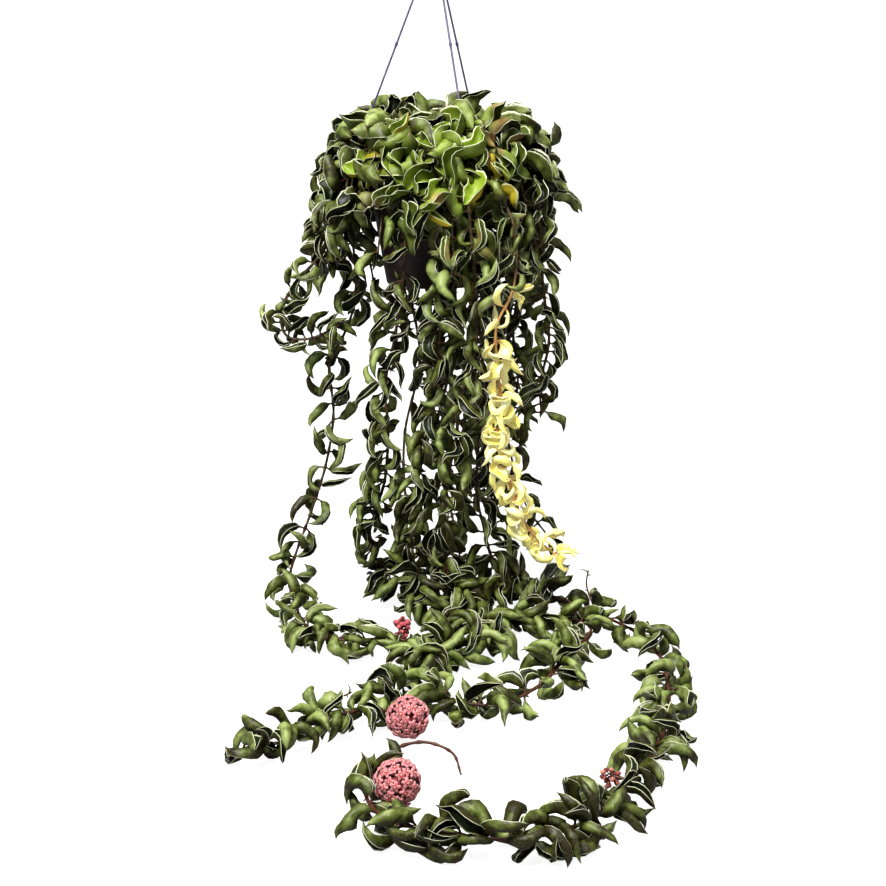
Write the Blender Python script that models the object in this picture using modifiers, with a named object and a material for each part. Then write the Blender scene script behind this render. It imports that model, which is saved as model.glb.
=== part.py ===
"""A hindu rope plant in its hanging pot.

Thick folded leaves curl along trailing vines that spill over the rim of a plastic pot, hang down
and run on along the floor. Three strands and a hook hold the pot. Metres, +Z up, the photographed
front faces -Y, and the origin is the point where the hook hangs.
"""

import math
import random

import bmesh
import bpy
import numpy as np
from mathutils import Matrix, Vector
from mathutils.bvhtree import BVHTree

# The frame: the strands meet this far below the hang point, and every height below counts from there.
MEETING_DROP = 0.034
FLOOR = -0.725
FLOOR_REST = 0.0006

# The gap that touching pieces keep, and a direction that no stem or stalk runs along.
FIT = 0.0003
ODD_DIRECTION = (0.31, 0.94, 0.12)

# The pot.
RIM_HEIGHT = -0.216
RIM_RADIUS = 0.085
LIP_DEPTH = 0.010
LIP_WALL = 0.0015
POT_TOP_RADIUS = 0.0775
POT_BASE_RADIUS = 0.053
POT_HEIGHT = 0.145
POT_WALL = 0.0016
POT_STEPS = 24
POT_GUARD = 0.0005
RIM_TAPER = 0.0004
DRAIN_HOLES = 5
DRAIN_RADIUS = 0.004
DRAIN_CIRCLE = 0.034
DRAIN_FIRST = 18.0
HOLE_SIDES = 6

# The soil.
SOIL_TOP = -0.231
ROOT_DEPTH = 0.014
ROOT_HOLE_HALF = 0.0029
UPRIGHT_ABOVE_SOIL = 0.003

# The hanger.
STRAND_RADIUS = 0.0011
STRAND_CIRCLE = 0.0805
STRAND_AZIMUTHS = {"front": -66.0, "back": 54.0, "left": 174.0}
STRAND_BEND = 0.012
STRAND_TAIL = 0.0075
STRAND_HOLE_RADIUS = 0.0018
BEAD_RADIUS = 0.0021
BEAD_SINK = 0.0006
NIB_RADIUS = 0.0019
NIB_PLACE = 0.5
HUB_TOP = 0.007
HUB_BOTTOM = -0.011
HUB_TOP_RADIUS = 0.0035
HUB_BOTTOM_RADIUS = 0.0068
HUB_SIDES = 10
STRAND_START_RADIUS = 0.0021
BORE_LENGTH = 0.03
BORE_GAP = 1.3 * FIT
SHANK_SINK = 0.004
SHANK_RISE = 0.001
HOOK_WIRE = 0.0016
HOOK_BEND = 0.0126
HOOK_ARC = (118.0, -142.0)
HOOK_ARC_POINTS = 9

# Stems and leaves.
STEM_RADIUS = 0.0021
TWIG_RADIUS = 0.0013
STEM_GUARD = 0.0006
PATH_STEP = 0.004
PATH_SAG = 0.0022
PAIR_SPACING = 0.019
PAIR_STAGGER = 0.0014
LEAF_GUARD = 0.0006
LEAF_TRIES = 14
FIRST_LEAF = 0.010
TIP_LEAF = 0.004
LENGTH_SPREAD = (0.9, 1.1)
PAIR_TURN = 101.0

# A leaf: shares of its length, angles in degrees and the chances of a flicked tip, a turned-over blade and
# a leaf that points back towards the root.
KEEL_THICKNESS = 0.0045
PETIOLE_SHARE = 0.11
HALF_WIDTH_SHARE = (0.27, 0.33)
CURL = (95.0, 185.0)
FLICK = (40.0, 110.0)
FLICK_CHANCE = 0.4
FLICK_START = 0.72
ROLL_SPREAD = 42.0
ROLL_OVER_CHANCE = 0.18
TWIST = (-45.0, 45.0)
FOLD = (92.0, 122.0)
FOLD_SHARPNESS = 2.2
WAVE = (8.0, 26.0)
WAVE_COUNT = (1.2, 2.4)
BACKWARD_CHANCE = 0.16
SPINE_STEPS = 40
RINGS = (0.30, 0.68)

# Where stems cross the rim: root circles in the soil, the crest over the rim and the drop outside it.
ROOT_CIRCLES = (0.047, 0.060)
SPROUT = 0.004
CLIMB_SHARE = 0.45
CREST_RADIUS = 0.0885
CREST_HEIGHT = -0.2025
CREST_START = 0.004
CREST_ROUND = 0.006
OUTSIDE_RADIUS = 0.0985
OUTSIDE_HEIGHT = -0.222

# Each vine: where it crosses the rim (degrees), the leaf length at its root and its end, the share of
# its length that is bare at the end, and the points that it hangs and lies through.
VINES = {
    "vine_left_long": (187, (0.050, 0.044), 0.0, [
        (-0.104, -0.014, -0.262), (-0.091, -0.012, -0.307), (-0.088, -0.010, -0.379),
        (-0.101, -0.010, -0.418), (-0.117, -0.008, -0.450), (-0.114, -0.004, -0.508),
        (-0.124, 0.000, -0.569), (-0.143, 0.000, -0.628), (-0.160, 0.000, -0.674),
        (-0.167, -0.010, -0.699), (-0.163, -0.040, -0.707), (-0.154, -0.082, -0.707),
        (-0.141, -0.142, -0.707), (-0.123, -0.179, -0.707), (-0.098, -0.197, -0.707),
        (-0.060, -0.195, -0.707), (-0.022, -0.200, -0.707)]),
    "vine_left_loop": (199, (0.046, 0.040), 0.0, [
        (-0.103, -0.036, -0.262), (-0.110, -0.038, -0.292), (-0.124, -0.040, -0.326),
        (-0.152, -0.040, -0.358), (-0.167, -0.040, -0.389), (-0.161, -0.042, -0.414),
        (-0.135, -0.044, -0.416), (-0.103, -0.044, -0.401)]),
    "vine_left_short": (162, (0.048, 0.044), 0.0, [
        (-0.112, 0.036, -0.258), (-0.122, 0.034, -0.300), (-0.112, 0.030, -0.352)]),
    "vine_front_left": (254, (0.048, 0.042), 0.0, [
        (-0.028, -0.111, -0.262), (-0.032, -0.110, -0.332), (-0.043, -0.102, -0.412),
        (-0.053, -0.100, -0.456), (-0.050, -0.096, -0.500), (-0.054, -0.080, -0.564),
        (-0.066, -0.058, -0.608), (-0.074, -0.040, -0.650), (-0.058, -0.030, -0.682),
        (-0.030, -0.030, -0.700)]),
    "vine_front": (271, (0.048, 0.044), 0.0, [
        (0.002, -0.113, -0.262), (0.006, -0.104, -0.371), (0.003, -0.100, -0.435),
        (-0.003, -0.100, -0.495), (-0.019, -0.100, -0.565), (-0.025, -0.100, -0.628),
        (-0.014, -0.104, -0.682), (0.012, -0.120, -0.704), (0.050, -0.150, -0.707),
        (0.060, -0.180, -0.707), (0.038, -0.206, -0.707), (0.004, -0.234, -0.707),
        (-0.019, -0.275, -0.707), (-0.034, -0.337, -0.707), (-0.050, -0.374, -0.707),
        (-0.085, -0.398, -0.707), (-0.129, -0.436, -0.707), (-0.170, -0.474, -0.709)]),
    "vine_front_middle": (287, (0.048, 0.044), 0.0, [
        (0.034, -0.113, -0.258), (0.041, -0.112, -0.330), (0.043, -0.110, -0.415),
        (0.027, -0.110, -0.471), (0.023, -0.109, -0.512), (0.014, -0.104, -0.560),
        (0.011, -0.100, -0.620), (0.019, -0.100, -0.680), (0.047, -0.112, -0.705),
        (0.093, -0.128, -0.707), (0.138, -0.132, -0.707), (0.164, -0.152, -0.707),
        (0.160, -0.190, -0.707), (0.137, -0.228, -0.707), (0.117, -0.292, -0.707),
        (0.086, -0.350, -0.707), (0.056, -0.375, -0.707), (0.022, -0.366, -0.707),
        (-0.002, -0.334, -0.707)]),
    "vine_yellow": (303, (0.036, 0.032), 0.0, [
        (0.062, -0.098, -0.246), (0.082, -0.114, -0.286), (0.082, -0.122, -0.350),
        (0.065, -0.130, -0.386), (0.064, -0.130, -0.415), (0.070, -0.130, -0.475),
        (0.068, -0.130, -0.512), (0.079, -0.130, -0.554), (0.095, -0.130, -0.598),
        (0.118, -0.130, -0.626), (0.131, -0.130, -0.636)]),
    "vine_floor_arc": (317, (0.046, 0.050), 0.09, [
        (0.078, -0.074, -0.262), (0.060, -0.084, -0.330), (0.053, -0.074, -0.395),
        (0.052, -0.056, -0.450), (0.048, -0.050, -0.530), (0.047, -0.050, -0.590),
        (0.056, -0.046, -0.636), (0.068, -0.026, -0.680), (0.086, -0.010, -0.704),
        (0.115, -0.036, -0.707), (0.152, -0.082, -0.707), (0.199, -0.148, -0.707),
        (0.220, -0.190, -0.707), (0.229, -0.267, -0.707), (0.222, -0.370, -0.707),
        (0.208, -0.440, -0.707), (0.177, -0.520, -0.707), (0.142, -0.594, -0.707),
        (0.108, -0.632, -0.707), (0.062, -0.650, -0.707), (0.010, -0.638, -0.707),
        (-0.034, -0.616, -0.707), (-0.054, -0.574, -0.707), (-0.048, -0.520, -0.706),
        (-0.034, -0.484, -0.704), (-0.008, -0.468, -0.704), (0.016, -0.482, -0.707),
        (0.025, -0.523, -0.712)]),
    "vine_right": (340, (0.048, 0.042), 0.0, [
        (0.108, -0.043, -0.250), (0.113, -0.050, -0.300), (0.117, -0.050, -0.360),
        (0.124, -0.050, -0.418), (0.115, -0.050, -0.466), (0.117, -0.050, -0.500)]),
    "vine_right_inner": (3, (0.046, 0.042), 0.0, [
        (0.105, 0.004, -0.262), (0.104, 0.002, -0.306), (0.095, 0.000, -0.362),
        (0.087, 0.000, -0.415), (0.093, 0.000, -0.468), (0.085, 0.000, -0.526)]),
    "vine_back_right": (27, (0.044, 0.040), 0.0, [
        (0.092, 0.048, -0.262), (0.096, 0.052, -0.330), (0.084, 0.052, -0.420),
        (0.078, 0.056, -0.500), (0.088, 0.058, -0.570), (0.106, 0.052, -0.630),
        (0.134, 0.040, -0.668)]),
    "vine_back_middle_right": (72, (0.044, 0.040), 0.0, [
        (0.034, 0.099, -0.262), (0.046, 0.096, -0.340), (0.056, 0.088, -0.430),
        (0.040, 0.082, -0.520), (0.056, 0.078, -0.600), (0.080, 0.072, -0.660)]),
    "vine_back_middle": (92, (0.044, 0.040), 0.0, [
        (-0.002, 0.103, -0.262), (0.004, 0.098, -0.360), (0.018, 0.088, -0.460),
        (0.000, 0.082, -0.560), (0.018, 0.070, -0.640), (0.030, 0.040, -0.696),
        (0.034, 0.000, -0.707)]),
    "vine_back_left": (113, (0.044, 0.040), 0.0, [
        (-0.041, 0.096, -0.262), (-0.034, 0.088, -0.360), (-0.018, 0.076, -0.460),
        (-0.036, 0.070, -0.550), (-0.034, 0.062, -0.630), (-0.014, 0.040, -0.694),
        (-0.002, 0.006, -0.707)]),
    "vine_back_far_left": (138, (0.046, 0.042), 0.0, [
        (-0.078, 0.070, -0.258), (-0.080, 0.072, -0.310), (-0.070, 0.066, -0.372)]),
}

# Each short spray over the rim: its azimuth in degrees, how far out and how low its end reaches.
RIM_SPRAYS = [
    (212, 0.124, -0.292), (226, 0.120, -0.270), (241, 0.122, -0.318), (263, 0.126, -0.300),
    (279, 0.132, -0.338), (327, 0.130, -0.318), (351, 0.128, -0.276), (15, 0.128, -0.280),
    (40, 0.124, -0.264), (82, 0.124, -0.262), (102, 0.126, -0.276), (126, 0.124, -0.266),
    (150, 0.124, -0.262)]
SPRAY_ROOT_SHIFT = 0.006
SPRAY_WIDER = 0.002
SPRAY_HIGHER = 0.006
HEART_SPRAYS = 5
HEART_FIRST = 17.0
HEART_CIRCLE = 0.020
HEART_LEAN = 0.010
HEART_LEAN_RISE = 0.026
HEART_REACH = 0.052
HEART_HEIGHT = -0.182
RIM_SPRAY_LEAVES = (0.056, 0.050)
HEART_LEAVES = (0.050, 0.056)
CROWN_STRETCH = 0.142
CROWN_EVERY = 2
VINE_EVERY = 4

# Bare twigs: the vine that carries them and the points they pass.
TWIGS = {
    "vine_front": [[(-0.100, -0.410, -0.707), (-0.098, -0.398, -0.698), (-0.076, -0.385, -0.690)]],
    "vine_floor_arc": [[(0.176, -0.115, -0.707), (0.166, -0.096, -0.680), (0.168, -0.094, -0.664)]],
}

# Flower heads: the vine that carries them, the centre, the radius of the core, the reach of the florets,
# their radius and their number. A head with fewer than OPEN_FLORETS of them is still in bud.
OPEN_FLORETS = 10
BLOOMS = {
    "umbel_front": ("vine_floor_arc", (-0.0285, -0.5600, -0.7000), 0.0160, 0.0210, 0.0106, 10),
    "umbel_middle": ("vine_front", (-0.0235, -0.4210, -0.6995), 0.0155, 0.0205, 0.0106, 10),
    "bud_cluster": ("vine_left_long", (-0.0340, -0.1735, -0.7030), 0.0060, 0.0098, 0.0050, 9),
    "spent_cluster": ("vine_floor_arc", (0.1510, -0.5340, -0.7060), 0.0065, 0.0105, 0.0050, 9),
}
STALK_RADIUS = 0.0012
STALK_STOP = 0.0023
STALK_SINK = 0.002
BALL_GUARD = 0.0015

# A star floret: how far its middle stands out, its notches and tips lie back and its root reaches in.
CROWN_RISE = 0.001
STAR_NOTCH = 0.52
STAR_DROP = (0.0014, 0.0016)
STAR_ROOT = 0.45
BUD_ROOT = 0.3

# The Boolean solvers and weld distances that are tried in turn until the joined mesh is sound.
JOIN_TRIES = [("EXACT", 0.000002), ("EXACT", 0.0000001), ("MANIFOLD", 0.000002), ("MANIFOLD", 0.0000001)]

COLOURS = {
    "leaf": (0.118, 0.190, 0.058, 1.0, 0.45),
    "yellow_leaf": (0.780, 0.700, 0.300, 1.0, 0.5),
    "bloom": (0.640, 0.230, 0.240, 1.0, 0.6),
    "bud": (0.420, 0.080, 0.085, 1.0, 0.55),
    "pot": (0.020, 0.016, 0.019, 1.0, 0.42),
    "soil": (0.028, 0.018, 0.011, 1.0, 0.95),
    "strand": (0.180, 0.175, 0.240, 1.0, 0.4),
    "hook": (0.180, 0.175, 0.240, 1.0, 0.4),
}


def clear_scene():
    """Take away whatever the file opened with."""
    for item in list(bpy.data.objects):
        bpy.data.objects.remove(item, do_unlink=True)


def make_material(name):
    """A plain finish with the part's colour and roughness."""
    red, green, blue, alpha, roughness = COLOURS[name]
    material = bpy.data.materials.new(name)
    material.use_nodes = True
    shader = material.node_tree.nodes["Principled BSDF"]
    shader.inputs["Base Color"].default_value = (red, green, blue, alpha)
    shader.inputs["Roughness"].default_value = roughness
    return material


def polar(radius, degrees, height):
    """A point at a radius and azimuth round the pot's axis."""
    angle = math.radians(degrees)
    return (radius * math.cos(angle), radius * math.sin(angle), height)


def lowered(points):
    """Heights counted from the strands' meeting point become heights below the hang point."""
    return np.asarray(points, dtype=float) - np.array([0.0, 0.0, MEETING_DROP])


def unit(vector):
    """The vector at length one."""
    return vector / np.linalg.norm(vector)


def smooth_line(points, step):
    """A curve through the points, with a point at each equal step of its length."""
    points = np.asarray(points, dtype=float)
    padded = np.vstack([2 * points[0] - points[1], points, 2 * points[-1] - points[-2]])
    knots = np.concatenate([[0.0], np.cumsum(np.linalg.norm(np.diff(padded, axis=0), axis=1) ** 0.5)])
    samples = []
    for i in range(1, len(padded) - 2):
        t0, t1, t2, t3 = knots[i - 1:i + 3]
        p0, p1, p2, p3 = padded[i - 1:i + 3]
        for t in np.linspace(t1, t2, 13)[:-1]:
            a1 = (t1 - t) / (t1 - t0) * p0 + (t - t0) / (t1 - t0) * p1
            a2 = (t2 - t) / (t2 - t1) * p1 + (t - t1) / (t2 - t1) * p2
            a3 = (t3 - t) / (t3 - t2) * p2 + (t - t2) / (t3 - t2) * p3
            b1 = (t2 - t) / (t2 - t0) * a1 + (t - t0) / (t2 - t0) * a2
            b2 = (t3 - t) / (t3 - t1) * a2 + (t - t1) / (t3 - t1) * a3
            samples.append((t2 - t) / (t2 - t1) * b1 + (t - t1) / (t2 - t1) * b2)
    samples = np.array(samples + [points[-1]])
    reach = np.concatenate([[0.0], np.cumsum(np.linalg.norm(np.diff(samples, axis=0), axis=1))])
    places = np.linspace(0.0, reach[-1], max(3, int(round(reach[-1] / step)) + 1))
    return np.stack([np.interp(places, reach, samples[:, k]) for k in range(3)], axis=1)


def few_points(line, sag):
    """The places along a line that its straight runs need to stay within the sag of it."""
    kept = {0, len(line) - 1}
    spans = [(0, len(line) - 1)]
    while spans:
        first, last = spans.pop()
        if last - first < 2:
            continue
        run = unit(line[last] - line[first])
        offsets = line[first + 1:last] - line[first]
        away = np.linalg.norm(offsets - np.outer(offsets @ run, run), axis=1)
        worst = int(np.argmax(away))
        if away[worst] > sag:
            middle = first + 1 + worst
            kept.add(middle)
            spans += [(first, middle), (middle, last)]
    return sorted(kept)


class Stem:
    """A stem's line, with a side direction carried along it so that leaves can be set round it."""

    def __init__(self, name, points, rooted=True):
        line = smooth_line(points, PATH_STEP)
        if rooted:
            upright = np.cumprod(line[:, 2] < SOIL_TOP - MEETING_DROP + UPRIGHT_ABOVE_SOIL).astype(bool)
            line[upright, :2] = line[0, :2]
        self.name = name
        self.line = line
        self.kept = few_points(line, PATH_SAG)
        self.reach = np.concatenate([[0.0], np.cumsum(np.linalg.norm(np.diff(line, axis=0), axis=1))])
        self.length = float(self.reach[-1])
        tangents = np.gradient(line, axis=0)
        self.tangents = tangents / np.linalg.norm(tangents, axis=1)[:, None]
        side = unit(np.cross(self.tangents[0], ODD_DIRECTION))
        sides = []
        for tangent in self.tangents:
            side = unit(side - tangent * (side @ tangent))
            sides.append(side)
        self.sides = np.array(sides)

    def at(self, place):
        """The point on the straight runs, the tangent and the two side directions at a place."""
        row = float(np.interp(place, self.reach, np.arange(len(self.line))))
        anchors = np.array(self.kept, dtype=float)
        point = np.array([np.interp(row, anchors, self.line[self.kept, k]) for k in range(3)])
        near = min(int(round(row)), len(self.line) - 1)
        tangent = self.tangents[near]
        side = self.sides[near]
        return point, tangent, side, np.cross(tangent, side)


class Leaf:
    """One folded leaf: its root, its first direction, the way it curls and how its halves fold."""

    def __init__(self, root, ahead, bend, length, dice):
        self.root = root
        self.ahead = ahead
        self.bend = bend
        self.length = length
        self.half_width = length * dice.uniform(*HALF_WIDTH_SHARE)
        self.curl = math.radians(dice.uniform(*CURL))
        self.flick = math.radians(dice.uniform(*FLICK)) if dice.random() < FLICK_CHANCE else 0.0
        over = dice.gauss(0.0, ROLL_SPREAD)
        self.roll = math.radians(over + (180.0 if dice.random() < ROLL_OVER_CHANCE else 0.0))
        self.twist = math.radians(dice.uniform(*TWIST))
        self.fold = math.radians(dice.uniform(*FOLD))
        self.wave = math.radians(dice.uniform(*WAVE))
        self.waves = dice.uniform(*WAVE_COUNT)
        self.phases = (dice.uniform(0.0, 2 * math.pi), dice.uniform(0.0, 2 * math.pi))

    def spine(self, places):
        """Points and directions along the leaf: it curls steadily, and the tip may flick back."""
        grid = np.linspace(0.0, 1.0, SPINE_STEPS + 1)
        turn = self.curl * grid - self.flick * np.clip((grid - FLICK_START) / (1.0 - FLICK_START), 0.0, 1.0)
        along = np.outer(np.cos(turn), self.ahead) + np.outer(np.sin(turn), self.bend)
        steps = (along[1:] + along[:-1]) * 0.5 * self.length / SPINE_STEPS
        points = self.root + np.vstack([np.zeros(3), np.cumsum(steps, axis=0)])
        turn = np.interp(places, grid, turn)
        points = np.stack([np.interp(places, grid, points[:, k]) for k in range(3)], axis=1)
        along = np.outer(np.cos(turn), self.ahead) + np.outer(np.sin(turn), self.bend)
        inward = np.outer(-np.sin(turn), self.ahead) + np.outer(np.cos(turn), self.bend)
        flat = np.cross(self.ahead, self.bend)
        roll = (self.roll + self.twist * np.asarray(places))[:, None]
        opening = -inward * np.cos(roll) + flat * np.sin(roll)
        return points, along, opening, np.cross(along, opening)

    def halves(self, places):
        """How far out and up the two margins and the keel's half height lie at each place."""
        places = np.asarray(places)
        blade = np.clip((places - PETIOLE_SHARE) / (1.0 - PETIOLE_SHARE), 0.0, 1.0)
        width = self.half_width * np.sin(math.pi * blade ** 0.7) ** 0.9
        across = np.linspace(0.0, 1.0, 9)
        shape = np.tanh(FOLD_SHARPNESS * across) / math.tanh(FOLD_SHARPNESS)
        result = []
        for phase in self.phases:
            fold = self.fold + self.wave * np.sin(2 * math.pi * self.waves * places + phase)
            angles = np.outer(fold, shape)
            out = np.cos(angles)
            up = np.sin(angles)
            result.append((width * (out[:, 1:] + out[:, :-1]).mean(axis=1) * 0.5,
                           width * (up[:, 1:] + up[:, :-1]).mean(axis=1) * 0.5))
        return result, width

    def coarse(self, rings, guard=0.0):
        """The leaf as a closed body: a root point, a few folded V sections and a tip."""
        places = np.array([0.0, *rings, 1.0])
        points, along, opening, across = self.spine(places)
        (left, right), width = self.halves(places)
        corners = [points[0]]
        for i in range(1, len(places) - 1):
            half = 0.5 * max(left[1][i], right[1][i])
            keel = points[i] - opening[i] * (half + guard)
            left_edge = points[i] + opening[i] * (left[1][i] - half + guard)
            left_edge = left_edge + across[i] * (left[0][i] + guard)
            right_edge = points[i] + opening[i] * (right[1][i] - half + guard)
            right_edge = right_edge - across[i] * (right[0][i] + guard)
            inner = keel + opening[i] * (KEEL_THICKNESS + guard)
            corners += [left_edge, keel, right_edge, inner]
        corners.append(points[-1] + along[-1] * guard)
        return np.array(corners)


def ring_faces(rings):
    """Triangles of a coarse leaf with so many V sections: the root fan first, both skins split alike."""
    faces = [(0, 1 + k, 1 + (k + 1) % 4) for k in range(4)]
    for ring in range(rings - 1):
        start = 1 + 4 * ring
        for k in range(4):
            here, there = start + k, start + (k + 1) % 4
            if k < 2:
                faces += [(here, here + 4, there), (there, here + 4, there + 4)]
            else:
                faces += [(here, here + 4, there + 4), (here, there + 4, there)]
    start = 1 + 4 * (rings - 1)
    faces += [(start + k, start + 4, start + (k + 1) % 4) for k in range(4)]
    return faces


def tube(line, radius, sides=5):
    """Points and triangles of a plain tube along a line."""
    tangents = np.gradient(line, axis=0)
    tangents /= np.linalg.norm(tangents, axis=1)[:, None]
    side = unit(np.cross(tangents[0], ODD_DIRECTION))
    rings = []
    for point, tangent in zip(line, tangents):
        side = unit(side - tangent * (side @ tangent))
        other = np.cross(tangent, side)
        rings += [point + radius * (side * math.cos(a) + other * math.sin(a))
                  for a in np.linspace(0.0, 2 * math.pi, sides, endpoint=False)]
    faces = []
    for ring in range(len(line) - 1):
        for k in range(sides):
            a, b = ring * sides + k, ring * sides + (k + 1) % sides
            faces += [(a, b, b + sides), (a, b + sides, a + sides)]
    return np.array(rings), faces


def turned(profile, steps, centre=(0.0, 0.0, 0.0)):
    """Points and triangles of an open profile of radius and height turned about a vertical axis."""
    angles = np.linspace(0.0, 2 * math.pi, steps, endpoint=False)
    points = [(centre[0] + r * math.cos(a), centre[1] + r * math.sin(a), centre[2] + z)
              for r, z in profile for a in angles]
    faces = []
    for row in range(len(profile) - 1):
        for k in range(steps):
            a, b = row * steps + k, row * steps + (k + 1) % steps
            faces += [(a, b, b + steps), (a, b + steps, a + steps)]
    return np.array(points), faces


def crosses_itself(points, faces):
    """True where two triangles of a body that share no corner run through each other."""
    tree = BVHTree.FromPolygons(points.tolist(), faces)
    return any(first < second and not set(faces[first]) & set(faces[second])
               for first, second in tree.overlap(tree))


class Thicket:
    """Everything that already has its place, and whether a new leaf still has room among it."""

    def __init__(self):
        self.owners = []
        self.low = np.zeros((0, 3))
        self.high = np.zeros((0, 3))
        self.whole = []
        self.blade = []

    def add(self, owner, points, faces, blade_faces=None):
        """Remember a body, its owner and the part of it that its own node must not touch."""
        self.owners.append(owner)
        self.low = np.vstack([self.low, points.min(axis=0)])
        self.high = np.vstack([self.high, points.max(axis=0)])
        self.whole.append(BVHTree.FromPolygons(points.tolist(), faces))
        self.blade.append(BVHTree.FromPolygons(points.tolist(), blade_faces) if blade_faces else None)

    def has_room(self, owner, points, faces, blade_faces):
        """True where the leaf meets nothing: near its own stem only its blade counts."""
        low, high = points.min(axis=0), points.max(axis=0)
        if low[2] < FLOOR - MEETING_DROP + FLOOR_REST:
            return False
        near = np.nonzero(np.all(self.low < high, axis=1) & np.all(self.high > low, axis=1))[0]
        if not len(near):
            return True
        whole = BVHTree.FromPolygons(points.tolist(), faces)
        blade = BVHTree.FromPolygons(points.tolist(), blade_faces)
        for index in near:
            if self.owners[index] != owner:
                if whole.overlap(self.whole[index]):
                    return False
            elif blade.overlap(self.whole[index]):
                return False
            elif self.blade[index] and whole.overlap(self.blade[index]):
                return False
        return True


def leaf_at(stem, place, turn, length, dice, ease):
    """A leaf drawn at a place on a stem: it leaves sideways, then curls on along the stem and down."""
    root, tangent, side, other = stem.at(place)
    turn += dice.gauss(0.0, 0.25 + 0.5 * ease)
    radial = side * math.cos(turn) + other * math.sin(turn)
    around = np.cross(tangent, radial)
    ahead = unit(radial + tangent * dice.uniform(-0.40, 0.45))
    down = np.array([0.0, 0.0, -1.0])
    bend = tangent * dice.uniform(0.35, 1.0) + down * dice.uniform(0.1, 0.8)
    bend = bend + around * dice.choice((-1.0, 1.0)) * dice.uniform(0.25, 1.0 + ease)
    if dice.random() < BACKWARD_CHANCE:
        bend = bend - 2.0 * tangent * (bend @ tangent)
    bend = bend - ahead * (bend @ ahead)
    return Leaf(root, ahead, unit(bend), length, dice)


def grow_leaves(stem, thicket, lengths, bare_share):
    """Set leaves along a stem where they have room, closer in the crown, and return those that were set."""
    faces = ring_faces(len(RINGS))
    blade_faces = faces[4:]
    first = ROOT_DEPTH + FIRST_LEAF
    last = stem.length * (1.0 - bare_share) - TIP_LEAF
    pairs = int((last - first) / PAIR_SPACING) + 1
    leaves = []
    for index in range(2 * pairs):
        pair, twin = divmod(index, 2)
        place = last - pair * PAIR_SPACING + (twin - 0.5) * PAIR_STAGGER
        if index % (CROWN_EVERY if place < CROWN_STRETCH else VINE_EVERY):
            continue
        share = place / stem.length
        for attempt in range(LEAF_TRIES):
            dice = random.Random("{} {} {}".format(stem.name, index, attempt))
            ease = attempt / LEAF_TRIES
            length = (lengths[0] + (lengths[1] - lengths[0]) * share) * dice.uniform(*LENGTH_SPREAD)
            length *= 1.0 if attempt < LEAF_TRIES // 2 else 1.15 - 0.5 * ease
            turn = math.radians(PAIR_TURN * pair + 180.0 * twin)
            leaf = leaf_at(stem, place, turn, length, dice, ease)
            if crosses_itself(leaf.coarse(RINGS), faces):
                continue
            points = leaf.coarse(RINGS, LEAF_GUARD)
            if thicket.has_room(stem.name, points, faces, blade_faces):
                thicket.add(stem.name, points, faces, blade_faces)
                leaves.append(leaf)
                break
    return leaves


def over_the_rim(azimuth, circle):
    """The points of a stem from its root in the soil up and over the pot's rim."""
    bottom = SOIL_TOP - ROOT_DEPTH
    return [polar(circle, azimuth, bottom), polar(circle, azimuth, SOIL_TOP + SPROUT),
            polar(circle + CLIMB_SHARE * (CREST_RADIUS - circle), azimuth, CREST_HEIGHT - CREST_ROUND),
            polar(CREST_RADIUS - CREST_START, azimuth, CREST_HEIGHT)]


def all_stems():
    """Every stem with its leaf lengths and the share of it that is bare at the end."""
    plans = []
    for number, (name, (azimuth, lengths, bare, route)) in enumerate(VINES.items()):
        circle = ROOT_CIRCLES[number % 2]
        points = over_the_rim(azimuth, circle) + [polar(OUTSIDE_RADIUS, azimuth, OUTSIDE_HEIGHT)] + route
        plans.append((Stem(name, lowered(points)), lengths, bare))
    for number, (azimuth, reach, low) in enumerate(RIM_SPRAYS, 1):
        circle = ROOT_CIRCLES[(number + 1) % 2] - SPRAY_ROOT_SHIFT
        points = over_the_rim(azimuth, circle)
        points += [polar(OUTSIDE_RADIUS + SPRAY_WIDER, azimuth, OUTSIDE_HEIGHT + SPRAY_HIGHER),
                   polar(0.5 * (reach + OUTSIDE_RADIUS), azimuth, 0.5 * (low + OUTSIDE_HEIGHT)),
                   polar(reach, azimuth, low)]
        stem = Stem("rim_spray_{:02d}".format(number), lowered(points))
        plans.append((stem, RIM_SPRAY_LEAVES, 0.0))
    for number in range(1, HEART_SPRAYS + 1):
        azimuth = 360.0 / HEART_SPRAYS * number + HEART_FIRST
        points = [polar(HEART_CIRCLE, azimuth, SOIL_TOP - ROOT_DEPTH),
                  polar(HEART_CIRCLE, azimuth, SOIL_TOP + SPROUT),
                  polar(HEART_CIRCLE + HEART_LEAN, azimuth, SOIL_TOP + HEART_LEAN_RISE),
                  polar(HEART_REACH, azimuth, HEART_HEIGHT)]
        stem = Stem("heart_spray_{}".format(number), lowered(points))
        plans.append((stem, HEART_LEAVES, 0.0))
    return plans


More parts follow.
